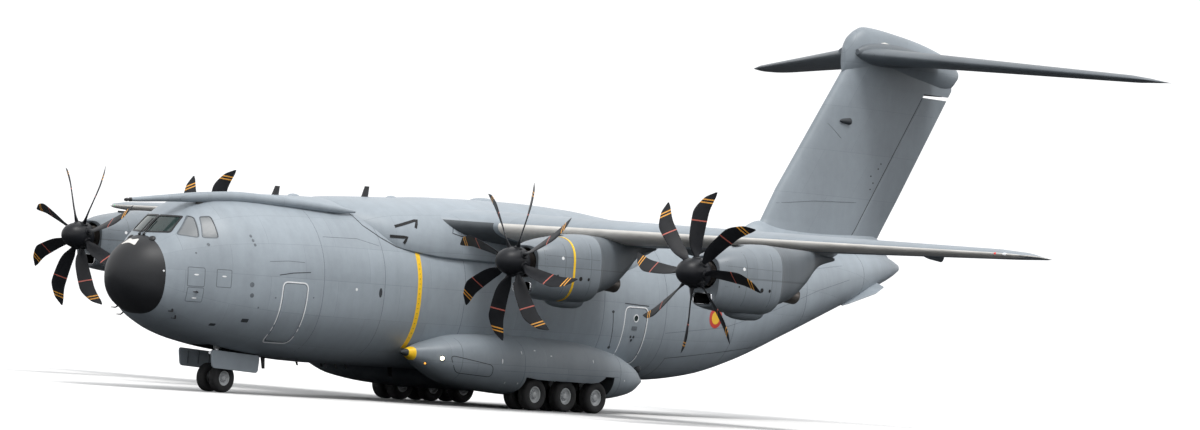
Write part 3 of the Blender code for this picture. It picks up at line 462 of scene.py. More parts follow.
def paint(name, colour, rough=0.46, kind=None, contrast=1.0, cell=(1.45, 0.62), streaks=0.5, centre_z=1.96, shine=0.45):
    """Matt aircraft paint: mottling, streaks, sheet-to-sheet tone and fine joints."""
    mat, tree, shader = nodes_of(name)
    coord = tree.nodes.new("ShaderNodeTexCoord").outputs["Object"]
    sep = tree.nodes.new("ShaderNodeSeparateXYZ")
    link(tree, coord, sep.inputs[0])
    x, y, z = sep.outputs
    broad = noise(tree, coord, 0.42, detail=3.0)
    fine = noise(tree, coord, 5.0, detail=5.0, rough=0.65, shift=(3, 1, 7))
    speck = noise(tree, coord, 60.0, detail=2.0, shift=(9, 4, 2))
    run = noise(tree, coord, 2.6, stretch=(1.0, 1.7, 0.16), detail=5.0, rough=0.6) if kind in ("hull", "fin", "pod") \
        else noise(tree, coord, 2.6, stretch=(1.7, 0.16, 1.0), detail=5.0, rough=0.6)
    total = math(tree, "MULTIPLY_ADD", math(tree, "SUBTRACT", broad, 0.5), 0.95 * contrast, 0.5)
    total = math(tree, "MULTIPLY_ADD", math(tree, "SUBTRACT", fine, 0.5), 0.50 * contrast, total)
    total = math(tree, "MULTIPLY_ADD", math(tree, "SUBTRACT", run, 0.5), streaks * contrast, total)
    total = math(tree, "MULTIPLY_ADD", math(tree, "SUBTRACT", speck, 0.5), 0.10 * contrast, total)
    base = ramp(tree, total, ((0.10, shade(colour, 0.80)), (0.40, shade(colour, 0.95)),
                              (0.60, shade(colour, 1.05)), (0.95, shade(colour, 1.22))))
    height = fine
    if kind:
        if kind in ("hull", "pod"):
            angle = math(tree, "ARCTAN2", math(tree, "SUBTRACT", z, centre_z), math(tree, "ABSOLUTE", x))
            u, v = y, math(tree, "MULTIPLY", angle, 1.3)
        elif kind == "fin":
            u, v = math(tree, "MULTIPLY_ADD", z, -0.72, y), z
        else:
            u, v = x, math(tree, "MULTIPLY_ADD", math(tree, "ABSOLUTE", x), -0.27, y)
        combine = tree.nodes.new("ShaderNodeCombineXYZ")
        link(tree, u, combine.inputs[0])
        link(tree, v, combine.inputs[1])
        brick = tree.nodes.new("ShaderNodeTexBrick")
        brick.offset, brick.squash = 0.5, 1.0
        for key, value in (("Scale", 1.0), ("Mortar Size", 0.0028), ("Mortar Smooth", 0.2), ("Bias", 0.0),
                           ("Brick Width", cell[0]), ("Row Height", cell[1])):
            brick.inputs[key].default_value = value
        brick.inputs["Color1"].default_value = (0.30, 0.30, 0.30, 1)
        brick.inputs["Color2"].default_value = (0.70, 0.70, 0.70, 1)
        brick.inputs["Mortar"].default_value = (0.5, 0.5, 0.5, 1)
        link(tree, combine.outputs[0], brick.inputs["Vector"])
        tone = ramp(tree, brick.outputs["Color"], ((0.3, (0.955, 0.955, 0.955)), (0.7, (1.035, 1.035, 1.035))))
        multiply = tree.nodes.new("ShaderNodeMix")
        multiply.data_type, multiply.blend_type = "RGBA", "MULTIPLY"
        multiply.inputs[0].default_value = 1.0
        link(tree, base, multiply.inputs[6])
        link(tree, tone, multiply.inputs[7])
        base = mixed(tree, math(tree, "MULTIPLY", brick.outputs["Fac"], 0.42), multiply.outputs[2], shade(colour, 0.42))
        height = math(tree, "MULTIPLY_ADD", brick.outputs["Fac"], -1.6, math(tree, "MULTIPLY", fine, 0.5))
    link(tree, base, shader.inputs["Base Color"])
    link(tree, math(tree, "MULTIPLY_ADD", fine, 0.22, rough - 0.11), shader.inputs["Roughness"])
    shader.inputs["Specular IOR Level"].default_value = shine
    bump = tree.nodes.new("ShaderNodeBump")
    bump.inputs["Strength"].default_value = 0.16
    bump.inputs["Distance"].default_value = 0.004
    link(tree, height, bump.inputs["Height"])
    link(tree, bump.outputs[0], shader.inputs["Normal"])
    return mat


def plain(name, colour, rough=0.5, metallic=0.0, contrast=0.5, scale=8.0, bump=0.05, shine=0.5, stretch=(1, 1, 1)):
    mat, tree, shader = nodes_of(name)
    coord = tree.nodes.new("ShaderNodeTexCoord").outputs["Object"]
    a = noise(tree, coord, scale, detail=5.0, stretch=stretch)
    b = noise(tree, coord, scale * 0.2, detail=3.0, shift=(5, 2, 8))
    total = math(tree, "MULTIPLY_ADD", math(tree, "SUBTRACT", b, 0.5), 0.8, a)
    link(tree, ramp(tree, total, ((0.2, shade(colour, 1 - 0.45 * contrast)), (0.5, colour),
                                  (0.8, shade(colour, 1 + 0.45 * contrast)))), shader.inputs["Base Color"])
    link(tree, math(tree, "MULTIPLY_ADD", a, 0.24, rough - 0.12), shader.inputs["Roughness"])
    shader.inputs["Metallic"].default_value = metallic
    shader.inputs["Specular IOR Level"].default_value = shine
    if bump:
        node = tree.nodes.new("ShaderNodeBump")
        node.inputs["Strength"].default_value = bump
        node.inputs["Distance"].default_value = 0.003
        link(tree, a, node.inputs["Height"])
        link(tree, node.outputs[0], shader.inputs["Normal"])
    return mat


def glow(name, colour, strength):
    mat = plain(name, colour, 0.2, contrast=0.1, bump=0)
    shader = mat.node_tree.nodes["Principled BSDF"]
    shader.inputs["Emission Color"].default_value = (*colour, 1)
    shader.inputs["Emission Strength"].default_value = strength
    return mat


def glass(name, tint, rough=0.04, through=0.55, shine=0.8):
    mat = plain(name, tint, rough + 0.02, contrast=0.25, scale=1.5, bump=0, shine=shine)
    shader = mat.node_tree.nodes["Principled BSDF"]
    shader.inputs["Transmission Weight"].default_value = through
    shader.inputs["IOR"].default_value = 1.45
    return mat


GREY = (0.285, 0.325, 0.362)
skin = paint("paint_hull", GREY, kind="hull", cell=(1.5, 0.55))
pod_paint = paint("paint_pods", shade(GREY, 0.77), kind="pod", cell=(1.1, 0.9), centre_z=0.75)
nacelle_paint = paint("paint_nacelles", shade(GREY, 0.70), rough=0.42, kind="pod", cell=(0.95, 1.3), centre_z=2.45)
wing_paint = paint("paint_wing", shade(GREY, 0.95), kind="wing", cell=(1.35, 0.62))
# painted shade: the nacelle's rear, in the wing's shadow, takes a darker copy of the nacelle grey
nacelle_aft_painted_shade = paint("painted_shade_nacelle_aft", shade(GREY, 0.42), rough=0.5, kind="pod", cell=(0.95, 1.3), centre_z=2.45)
fin_paint = paint("paint_fin", shade(GREY, 0.84), kind="fin", cell=(1.5, 0.85), streaks=0.25)
# painted shade: tailplane, elevators and their root fairings in a much darker copy of the grey, standing for the shaded
# underside
tail_paint_painted_shade = paint("paint_tailplane_painted_shade", shade(GREY, 0.44), kind="wing", cell=(1.25, 0.75))
door_paint = paint("paint_doors", shade(GREY, 0.98), kind=None)
edge_paint = plain("leading_edge", (0.76, 0.74, 0.70), 0.42, contrast=0.4, scale=3.0, bump=0.03, stretch=(0.5, 2, 2))
pale_plate = plain("pale_plate", (0.34, 0.34, 0.335), 0.6, contrast=0.3, scale=12.0, bump=0.03)
# near-black painted shade for the underside of the wing-root glove
root_painted_shade = plain("root_painted_shade", (0.075, 0.086, 0.096), 0.6, contrast=0.5, scale=6.0, bump=0.04)
tip_paint = plain("nose_boot", (0.014, 0.015, 0.018), 0.50, contrast=0.8, scale=2.2, bump=0.04, shine=0.45)
black = plain("black_rubber_paint", (0.012, 0.012, 0.014), 0.46, contrast=0.6, scale=9.0, bump=0.04)
spinner_black = plain("spinner_black", (0.012, 0.013, 0.016), 0.42, contrast=0.6, scale=4.0, bump=0.03, shine=0.28)
blade_black = plain("blade_black", (0.012, 0.013, 0.016), 0.46, contrast=0.8, scale=6.0, bump=0.05, shine=0.3)
yellow = plain("band_yellow", (1.0, 0.60, 0.016), 0.48, contrast=0.35, scale=14.0, bump=0.04)
orange = plain("stripe_orange", (0.86, 0.40, 0.06), 0.48, contrast=0.3, scale=14.0, bump=0.03)
rose = plain("stripe_rose", (0.52, 0.13, 0.10), 0.48, contrast=0.3, scale=14.0, bump=0.03)
white = plain("line_white", (0.86, 0.87, 0.88), 0.5, contrast=0.25, scale=12.0, bump=0.03)
line_dark = plain("joint_dark", (0.035, 0.040, 0.046), 0.6, contrast=0.5, scale=20.0, bump=0.03)
line_soft = plain("joint_soft", (0.120, 0.138, 0.156), 0.55, contrast=0.5, scale=20.0, bump=0.03)
red = plain("disc_red", (0.52, 0.045, 0.030), 0.5, contrast=0.35, scale=10.0, bump=0.03)
disc_yellow = plain("disc_yellow", (0.80, 0.48, 0.03), 0.5, contrast=0.3, scale=10.0, bump=0.03)
steel = plain("steel", (0.42, 0.43, 0.45), 0.34, metallic=0.9, contrast=0.4, scale=9.0, bump=0.06)
bright = plain("bright_metal", (0.66, 0.67, 0.69), 0.20, metallic=1.0, contrast=0.25, scale=6.0, bump=0.02)
burnt = plain("exhaust_metal", (0.20, 0.18, 0.165), 0.42, metallic=0.85, contrast=1.0, scale=5.0, bump=0.08)
gear_white = plain("gear_enamel", (0.50, 0.52, 0.53), 0.34, contrast=0.35, scale=9.0, bump=0.04)
tyre = plain("tyre_rubber", (0.020, 0.020, 0.021), 0.80, contrast=0.9, scale=16.0, bump=0.25)
cabin = plain("cabin_lining", (0.17, 0.19, 0.18), 0.72, contrast=0.5, scale=4.0, bump=0.12)
deck = plain("deck_coating", (0.10, 0.105, 0.11), 0.78, contrast=0.8, scale=30.0, bump=0.3)
panel_grey = plain("panel_grey", (0.045, 0.048, 0.052), 0.6, contrast=0.6, scale=12.0, bump=0.1)
fabric = plain("seat_cloth", (0.030, 0.034, 0.030), 0.9, contrast=0.9, scale=60.0, bump=0.4)
# near-black painted shade inside openings: the duct behind the spinner, intake mouths, exhausts, scoops and vents; also
# the round ports on the nacelles
hollow_shade_black = plain("hollow_painted_shade", (0.010, 0.010, 0.011), 0.8, contrast=0.4, scale=6.0, bump=0.05)
screen_glass = glass("windscreen_glass", (0.055, 0.085, 0.082), through=0.45)
# side panes as pale grey, nearly opaque glass: the pale colour is a painted sky reflection
side_glass_painted_reflection = glass("side_glass_painted_reflection", (0.26, 0.275, 0.285), rough=0.16, through=0.08, shine=0.12)
lamp = glow("landing_lamp", (1.0, 0.90, 0.62), 7.0)
amber = glow("amber_lamp", (1.0, 0.42, 0.06), 1.6)
lamp_red = glow("tip_lamp_red", (0.75, 0.05, 0.04), 0.5)
lamp_green = glow("tip_lamp_green", (0.05, 0.55, 0.22), 0.5)
lamp_white = glow("tail_lamp_white", (0.85, 0.87, 0.90), 0.4)


# ------------------------------------------------------------ hull shape
def fuselage_at(s):
    if s >= RADOME_S:
        return hermite(FUSELAGE, s)
    joint, end = FUSELAGE[0], radians(65.0)
    t = acos(1 - max(s, 0.0) / RADOME_S * (1 - cos(end)))
    k = sin(t) / sin(end)
    return (joint[1] * k, TIP_H + (joint[2] - TIP_H) * k, TIP_H - (TIP_H - joint[3]) * k,
            TIP_H + (joint[4] - TIP_H) * s / RADOME_S)


def hull_ring(s, inset=0.0, floor=None, sides=SIDES):
    w, top, bottom, zc = fuselage_at(s)
    points = []
    for k in range(sides):
        t = 2 * pi * (k + 0.5) / sides
        c, z = cos(t), sin(t)
        a = max(w - inset, 1e-3)
        b = max((top - zc if z > 0 else zc - bottom) - inset, 1e-3)
        e = 2.0 if z > 0 else 2.6
        r = ((abs(c) / a) ** e + (abs(z) / b) ** e) ** (-1 / e)
        if floor is not None and z < 0:
            r = min(r, (floor - zc) / z)
        points.append(P(r * c, s, zc + r * z))
    return points


def hull_side(s, h, side=1, out=0.0):
    """Point on the hull's flank and the way it faces."""
    def width(s, h):
        w, top, bottom, zc = fuselage_at(s)
        z = h - zc
        b, e = (top - zc, 2.0) if z > 0 else (zc - bottom, 2.6)
        k = 1 - min(abs(z) / b, 0.9999) ** e
        return w * k ** (1 / e)
    l = width(s, h)
    ds = (width(s + 0.02, h) - width(s - 0.02, h)) / 0.04
    dh = (width(s, h + 0.02) - width(s, h - 0.02)) / 0.04
    n = Vector((1.0, -ds, -dh)).normalized()
    n.x *= side
    return P(side * l, s, h) + n * out, n


def hull_top(l, s, lower=False):
    """Point on the hull's top (or belly) at a distance from the centre."""
    def height(l, s):
        w, top, bottom, zc = fuselage_at(s)
        e = 2.6 if lower else 2.0
        k = (1 - min(abs(l) / w, 0.9999) ** e) ** (1 / e)
        return zc - (zc - bottom) * k if lower else zc + (top - zc) * k
    h = height(l, s)
    dl = (height(l + 0.02, s) - height(l - 0.02, s)) / 0.04
    ds = (height(l, s + 0.02) - height(l, s - 0.02)) / 0.04
    n = Vector((-dl, -ds, 1.0)).normalized()
    return P(l, s, h), (-n if lower else n)


def sponson_side(s, h, side=1):
    def width(s, h):
        lc, hc, w, up, down = hermite(SPONSON, s)
        z = h - hc
        b = up if z > 0 else down
        return lc + w * (1 - min(abs(z) / b, 0.9999) ** 2.5) ** (1 / 2.5)
    l = width(s, h)
    ds = (width(s + 0.02, h) - width(s - 0.02, h)) / 0.04
    dh = (width(s, h + 0.02) - width(s, h - 0.02)) / 0.04
    n = Vector((1.0, -ds, -dh)).normalized()
    n.x *= side
    return P(side * l, s, h), n


def nacelle_side(engine, aft, h, side=1):
    name, l0, s0, sense = engine

    def width(a, h):
        w, top, bottom, zc = hermite(NACELLE, a)
        z = h - zc
        b = top - zc if z > 0 else zc - bottom
        return w * (1 - min(abs(z) / b, 0.9999) ** NACELLE_POWER) ** (1 / NACELLE_POWER)
    l = width(aft, h)
    ds = (width(aft + 0.02, h) - width(aft - 0.02, h)) / 0.04
    dh = (width(aft, h + 0.02) - width(aft, h - 0.02)) / 0.04
    n = Vector((1.0, -ds, -dh)).normalized()
    n.x *= side
    return P(l0 + side * l, s0 + aft, h), n


def fin_side(s, h, side=1):
    s0, chord, ratio = linear(FIN, h)
    x = min(max((s - s0) / chord, 0.001), 0.995)
    return P(side * thickness(x) * ratio * 2 * chord, s, h), Vector((side, 0, 0))


def ribbon(m, points, width, mat=0, closed=True, up=0.0012, down=0.004):
    """A thin strip laid on a surface; points are (place, facing) pairs and width is full-size."""
    rows, n = [], len(points)
    for i, (p, normal) in enumerate(points):
        a = points[(i - 1) % n][0] if closed or i else p
        b = points[(i + 1) % n][0] if closed or i < n - 1 else p
        across = normal.cross(b - a).normalized() * width * SCALE / 2
        rows.append([p + across - normal * down, p + across + normal * up,
                     p - across + normal * up, p - across - normal * down])
    m.rows(rows, closed=closed, mat=mat)


def patch(m, outline, place, mats=(0,), rings=4, up=0.0012, down=0.004, stops=None):
    """A filled flat shape laid on a surface; place(u, v) gives point and facing."""
    c = (sum(p[0] for p in outline) / len(outline), sum(p[1] for p in outline) / len(outline))
    stops = stops or [k / rings for k in range(rings + 1)]
    rows = []
    for sign, order in ((up, stops), (-down, stops[::-1])):
        for t in order:
            row = []
            for u, v in outline:
                p, normal = place(c[0] + (u - c[0]) * max(t, 0.004), c[1] + (v - c[1]) * max(t, 0.004))
                row.append(p + normal * sign)
            rows.append(row)
    count = len(stops)
    m.rows(rows, mat=lambda i, j: mats[min(i, len(mats) - 1)] if i < count - 1 else mats[-1])


def oval(c, ru, rv, n=24):
    return [(c[0] + ru * cos(2 * pi * k / n), c[1] + rv * sin(2 * pi * k / n)) for k in range(n)]


def prism_obj(outline, low, high, axis="l", mat=2):
    """A cutter: an outline in (s, h) carried along l, or in (l, h) carried along s."""
    m = Mesh()
    if axis == "l":
        rows = [[P(l, s, h) for s, h in outline] for l in (low, high)]
    else:
        rows = [[P(l, s, h) for l, h in outline] for s in (low, high)]
    m.rows(rows, mat=mat)
    return m.make("cutter", [skin, cabin, line_dark], smooth=0, merge=0)


# ------------------------------------------------------------ fuselage
def build_fuselage():
    # radome
    stops = [RADOME_S * (1 - cos(radians(a))) / (1 - cos(radians(84))) for a in range(4, 84, 5)]
    stops = [s for s in stops if s < RADOME_S - 0.02] + [RADOME_S - 0.001]
    m = Mesh().rows([hull_ring(0.0008)] + [hull_ring(s) for s in stops])
    radome = m.make("radome_skin", [tip_paint], smooth=50)
    finish_piece(radome, replaces="radome", smooth=50)

    mats = [skin, cabin, line_dark]
    outer = spread(RADOME_S, 3.5, 0.09) + spread(3.5, NOSE_END_S - 0.001, 0.3)[1:]
    inner = spread(1.45, 3.5, 0.12) + spread(3.5, NOSE_END_S - 0.001, 0.4)[1:]
    rings = [hull_ring(s) for s in outer] + [hull_ring(s, WALL) for s in reversed(inner)]
    nose = Mesh().rows(rings, mat=lambda i, j: 0 if i < len(outer) - 1 else 1).make("nose_skin", mats, smooth=0)
    frames = None
    for side, name in SIDE_NAMES:
        for number, (outline, axis, radius) in enumerate(
                [(WINDSCREEN, "s", 0.05)] + [(w, "l", 0.07) for w in SIDE_WINDOWS]):
            shape = rounded(outline, radius)
            wide = rounded(grown(outline, 0.05 if axis == "s" else 0.022), radius + 0.03)
            tight = rounded(grown(outline, 0.012), radius)
            if axis == "s":
                pick = lambda pts: [(side * l, h) for l, h in pts]
                low, high = 1.16, 2.5
            else:
                pick = lambda pts: pts
                low, high = side * 0.35, side * 2.6
            carve(nose, prism_obj(pick(shape), low, high, axis))
            span = spread(1.24, 3.1, 0.07)
            ring = Mesh().rows([hull_ring(s, -0.010) for s in span] + [hull_ring(s, 0.06) for s in reversed(span)], closed=True)
            seal = black if axis == "s" else line_soft
            rim = ring.make(f"window_frame_{name}_{number}", [seal, seal, seal], smooth=0)
            carve(rim, prism_obj(pick(wide), low, high, axis, 0), "INTERSECT")
            carve(rim, prism_obj(pick(shape), low, high, axis, 0))
            finish_piece(rim)
            ring = Mesh().rows([hull_ring(s, 0.012) for s in span] + [hull_ring(s, 0.040) for s in reversed(span)], closed=True)
            look = screen_glass if number == 0 else side_glass_painted_reflection
            pane = ring.make(f"window_pane_{name}_{number}", [look, look, look], smooth=0)
            carve(pane, prism_obj(pick(tight), low, high, axis, 0), "INTERSECT")
            finish_piece(pane, replaces="cockpit_glazing")

    s, h = CREW_DOOR_S, CREW_DOOR_H
    door_outline = [(s[0], h[0]), (s[1], h[0]), (s[1], h[1]), (s[0], h[1])]
    carve(nose, prism_obj(rounded(door_outline, 0.20, 7), 1.2, 3.2))
    bay = Mesh().box(BAY_L, BAY_S, (0.9, 2.6), mat=2).make("cutter", mats, smooth=0)
    carve(nose, bay)
    finish_piece(nose, replaces="nose_fuselage")

    outer = [NOSE_END_S] + spread(7.3, 24.3, 0.85) + [CENTRE_END_S - 0.001]
    rings = [hull_ring(s) for s in outer] + [hull_ring(s, WALL, HOLD_FLOOR_H) for s in reversed(outer)]
    floor_faces = lambda i, j: 0 if i < len(outer) - 1 or i == 2 * len(outer) - 1 else (3 if j > SIDES * 0.56 and j < SIDES * 0.94 else 1)
    centre = Mesh().rows(rings, closed=True, mat=floor_faces).make("centre_skin", mats + [deck], smooth=0)
    s, h = PARA_DOOR_S, PARA_DOOR_H
    para_outline = [(s[0], h[0]), (s[1], h[0]), (s[1], h[1]), (s[0], h[1])]
    for side, name in SIDE_NAMES:
        carve(centre, prism_obj(rounded(para_outline, 0.22, 7), side * 1.2, side * 3.2))
    finish_piece(centre, replaces="centre_fuselage")

    outer = [CENTRE_END_S] + spread(25.0, REAR_END_S - 0.001, 0.45)
    inner = [CENTRE_END_S] + spread(25.0, REAR_END_S - 0.15, 0.6)
    rings = [hull_ring(s) for s in reversed(outer)] + [hull_ring(s, WALL) for s in inner]
    rear = Mesh().rows(rings, mat=lambda i, j: 0 if i < len(outer) - 1 else 1).make("rear_skin", mats, smooth=0)
    (s0, h0), (s1, h1) = RAMP_SILL
    (eb_s, eb_h), (et_s, et_h) = RAMP_END
    g = 0.016
    ramp_cut = [(s0, 1.0), (ramp_end_s(1.0), 1.0), (ramp_end_s(et_h + g), et_h + g), (s0, h0 + g)]
    carve(rear, prism_obj(ramp_cut, -3.2, 3.2))
    carve(rear, door_plan(g))
    finish_piece(rear, replaces="rear_fuselage")

    rings = [hull_ring(s) for s in spread(REAR_END_S, 40.9, 0.3) + [41.05, 41.15, CONE_END_S]]
    cone = Mesh().rows(rings).make("tail_cone_skin", [skin])
    finish_piece(cone, replaces="tail_cone")

    # refuelling boom with its strut and nozzle
    def boom_ring(s, grow=0.0):
        l, h, r = hermite(REFUEL_BOOM, s)
        return [P(l + (r + grow) * cos(a), s, h + (r + grow) * sin(a)) for a in (2 * pi * (k + 0.5) / 32 for k in range(32))]
    hull = Mesh().rows([hull_ring(s, 0.004) for s in spread(RADOME_S, 10.5, 0.25)], mat=0).make("cutter", [skin], smooth=0, merge=0)
    m = Mesh().rows([boom_ring(s) for s in [0.22, 0.25] + spread(0.4, 9.3, 0.2) + [9.35]])
    boom = m.make("refuelling_boom_skin", [skin], smooth=0)
    carve(boom, hull)
    finish_piece(boom, replaces="refuelling_boom", smooth=50)
    m = Mesh()
    m.rows([boom_ring(s, g) for s, g in ((0.025, -0.03), (0.03, -0.012), (0.06, 0.0), (0.12, 0.004), (0.13, -0.012), (0.20, -0.012), (0.21, 0.003), (0.27, 0.003), (0.28, -0.02))])
    rows = []
    for t in np.linspace(0, 1, 6):
        l, h, r = hermite(REFUEL_BOOM, 3.02)
        rows.append([P(l - 0.02 + (0.075 + 0.05 * t) * cos(q), 3.02 + 0.10 * t + (0.20 + 0.12 * t) * sin(q), h - 0.10 - 0.24 * t) for q in (2 * pi * k / 20 for k in range(20))])
    m.rows(rows)
    finish_piece(m.make("refuelling_nozzle_and_strut", [black], smooth=45), smooth=45)

    # doors cut from the same skin
    span = spread(4.9, 6.6, 0.12)
    rings = [hull_ring(s) for s in span] + [hull_ring(s, WALL - 0.01) for s in reversed(span)]
    door = Mesh().rows(rings, closed=True, mat=lambda i, j: 0 if i < len(span) - 1 else 1).make("crew_door_skin", [skin, cabin, line_dark], smooth=0)
    carve(door, prism_obj(rounded(grown(door_outline, -0.013), 0.19, 7), 1.2, 3.2), "INTERSECT")
    finish_piece(door, "crew_door", "crew_door")
    # folding stair on the inner face of the door
    m = Mesh()
    for k in range(6):
        hh = 2.02 + 0.28 * k
        w = hull_side(5.74, hh)[0].x / SCALE
        m.box((w - 0.36, w - 0.135), (5.36, 6.12), (hh, hh + 0.035), mat=0)
    for ss in (5.33, 6.12):
        rows = []
        for k in range(12):
            hh = 1.95 + 1.62 * k / 11
            w = hull_side(5.74, hh)[0].x / SCALE
            rows.append([P(w - 0.34, ss, hh), P(w - 0.13, ss, hh), P(w - 0.13, ss + 0.03, hh), P(w - 0.34, ss + 0.03, hh)])
        m.rows(rows)
    finish_piece(m.make("crew_door_steps", [steel], smooth=0), "crew_door", smooth=0)

    for side, name in SIDE_NAMES:
        span = spread(22.2, 23.8, 0.2)
        rings = [hull_ring(s, 0.006) for s in span] + [hull_ring(s, WALL - 0.01) for s in reversed(span)]
        door = Mesh().rows(rings, closed=True, mat=lambda i, j: 0 if i < len(span) - 1 else 1).make(f"paratroop_door_{name}_skin", [skin, cabin, line_dark], smooth=0)
        carve(door, prism_obj(rounded(grown(para_outline, -0.012), 0.21, 7), side * 1.2, side * 3.2), "INTERSECT")
        window = Mesh().tube([(side * 2.2, 22.98, 3.40), (side * 3.1, 22.98, 3.40)], 0.10, 28, mat=2).make("cutter", [skin, cabin, line_dark], smooth=0)
        carve(door, window)
        finish_piece(door, replaces=f"paratroop_door_{name}")
        p, n = hull_side(22.98, 3.40, side)
        m = Mesh().lathe([(-0.05, 0.02), (-0.05, 0.105), (-0.03, 0.105), (-0.03, 0.02)], (p.x / SCALE, p.y / SCALE + MID, p.z / SCALE), n, 28)
        finish_piece(m.make(f"paratroop_window_{name}", [screen_glass]))

    # ramp and upper cargo door
    body = Mesh().rows([hull_ring(s) for s in spread(24.6, 33.0, 0.42)]).make("cargo_ramp_skin", [skin, cabin, deck], smooth=0)
    outline = [(s0 + g, 1.0), (ramp_end_s(1.0) - g, 1.0), (ramp_end_s(et_h) - g, et_h), (s0 + g, h0)]
    carve(body, prism_obj(outline, -3.3, 3.3, mat=2), "INTERSECT")
    finish_piece(body, "cargo_ramp", "cargo_ramp")
    m = Mesh()
    for side in (1, -1):
        for l in (0.35, 0.95, 1.55):
            m.rows([[P(side * l - 0.05, s, h), P(side * l + 0.05, s, h), P(side * l + 0.05, s, h + 0.012), P(side * l - 0.05, s, h + 0.012)]
                    for s, h in ((25.3, ramp_h(25.3)), (30.7, ramp_h(30.7)))])
    for k in range(18):
        s = 25.45 + 0.3 * k
        m.rows([[P(l, s + a, ramp_h(s + a) + b) for a, b in ((0, 0), (0.03, 0), (0.03, 0.010), (0, 0.010))] for l in (-1.75, 1.75)])
    finish_piece(m.make("cargo_ramp_treads", [steel], smooth=0), "cargo_ramp", smooth=0)

    body = Mesh().rows([hull_ring(s) for s in spread(30.0, 37.6, 0.4)]).make("cargo_door_skin", [skin, cabin, line_dark], smooth=0)
    outline = [(37.4, 1.0), (ramp_end_s(1.0) + CLEAR, 1.0), (ramp_end_s(2.62) + CLEAR, 2.62)]
    outline += [(s, fuselage_at(s)[2] + DOOR_DEPTH) for s in (33.0, 35.2, 37.4)]
    carve(body, prism_obj(outline, -3.3, 3.3, mat=1), "INTERSECT")
    carve(body, door_plan(0.0), "INTERSECT")
    finish_piece(body, "cargo_door", "cargo_door")


def ramp_h(s):
    (s0, h0), (s1, h1) = (RAMP_SILL[0][0] + 0.016, RAMP_SILL[0][1]), (ramp_end_s(RAMP_END[1][1]) - 0.016, RAMP_END[1][1])
    return h0 + (h1 - h0) * (s - s0) / (s1 - s0)


def ramp_end_s(h):
    (low_s, low_h), (high_s, high_h) = RAMP_END
    return low_s + (h - low_h) * (high_s - low_s) / (high_h - low_h)


def door_plan(gap):
    (w0, w1), (s0, s1) = DOOR_HALF, (30.40, DOOR_S1)
    w0, w1, s1 = w0 + gap, w1 + gap, s1 + gap
    m = Mesh().rows([[P(-w0, s0, h), P(w0, s0, h), P(w1, s1, h), P(-w1, s1, h)] for h in (1.0, 4.95)], mat=2)
    return m.make("cutter", [skin, cabin, line_dark], smooth=0, merge=0)


# ------------------------------------------------------------ lifting surfaces
def thickness(x):
    return 5 * (0.2969 * sqrt(max(x, 0)) - 0.1260 * x - 0.3516 * x**2 + 0.2843 * x**3 - 0.1036 * x**4) + 0.004 * x / 0.12


LEAD = [0.0, 0.0015, 0.006, 0.014, 0.026, 0.045, 0.07, 0.10, 0.14, 0.19, 0.25, 0.32, 0.40, 0.48, 0.56, 0.62]


def wing_place(l, side):
    s0, chord, h, ratio = linear(WING, l)

    def place(x, z):
        lift = 0.35 * 0.04 * sin(pi * min(max(x, 0), 1)) * chord
        return P(side * l, s0 + x * chord, h + z * chord + lift - 0.03 * x * chord)
    return place, ratio, chord


def tail_place(l, side):
    s0, chord, h, ratio = linear(TAILPLANE, l)

    def place(x, z):
        return P(side * l, s0 + x * chord, h + z * chord)
    return place, ratio, chord


def fin_place(h):
    s0, chord, ratio = linear(FIN, h)

    def place(x, z):
        return P(z * chord, s0 + x * chord, h)
    return place, ratio * 2, chord


def section(place, ratio, chord, hinge=None, upper=0.45, lower=1.0, ease=1.0):
    """Outline from the nose: full, or ending in a cove that the moving surface sits in.

    upper and lower give, in nose radii ahead of the hinge, where each skin ends; ease widens the cove
    for a hinge line that leans, where the turned nose needs more room."""
    if hinge is None:
        xs = LEAD[1:] + [0.68, 0.74, 0.80, 0.86, 0.92, 0.97, 1.0]
        top = [(x, thickness(x) * ratio) for x in xs]
        low = [(x, -z) for x, z in reversed(top)]
        return [place(0, 0)] + [place(x, z) for x, z in top] + [place(x, z) for x, z in low]
    t = thickness(hinge) * ratio
    r = t * ease + CLEAR * 0.55 / chord
    ends = []
    for k in (upper, lower):
        ends.append(hinge - k * t if k < 1 else hinge - r)
    xs_up = LEAD[1:] + [0.62 + (ends[0] - 0.62) * f for f in (0.5, 1.0)]
    xs_low = LEAD[1:] + [0.62 + (ends[1] - 0.62) * f for f in (0.5, 1.0)]
    a0 = acos(min(1.0, (hinge - ends[0]) / r))
    a1 = -acos(min(1.0, (hinge - ends[1]) / r))
    cove = [(hinge - r * cos(a0 + (a1 - a0) * f / 5), r * sin(a0 + (a1 - a0) * f / 5)) for f in range(6)]
    ring = [(0, 0)] + [(x, thickness(x) * ratio) for x in xs_up] + cove
    ring += [(x, -thickness(x) * ratio) for x in reversed(xs_low)]
    return [place(x, z) for x, z in ring]


def mover(place_at, stations, hinge):
    rows = []
    for l in stations:
        place, ratio, chord = place_at(l)
        t = thickness(hinge) * ratio
        ring = [place(hinge - t * cos(a), t * sin(a)) for a in (radians(d) for d in range(-90, 91, 15))]
        xs = [hinge + (1 - hinge) * f for f in (0.12, 0.3, 0.5, 0.7, 0.87, 1.0)]
        ring += [place(x, thickness(x) * ratio) for x in xs]
        ring += [place(x, -thickness(x) * ratio) for x in reversed(xs)]
        rows.append(ring)
    return rows


def pod(side, l, depth, rows, n=14):
    """Slim pod under the wing that holds a hinge."""
    place = wing_place(l, side)[0]
    out = []
    for x, share, w in rows:
        base = place(min(x, 0.94), 0)
        base.y = place(x, 0).y
        low = depth * share
        ring = []
        for k in range(n):
            t = pi * k / (n - 1)
            a, b = -cos(t), sin(t) ** 0.75 if 0 < k < n - 1 else 0.0
            ring.append(base + Vector((side * w * a, 0, -low * b)) * SCALE)
        out.append(ring)
    return out


def dense(table, step):
    """The rows of a pod table with smooth ones between."""
    return [(x,) + tuple(hermite(table, x)) for x in spread(table[0][0], table[-1][0], step)]


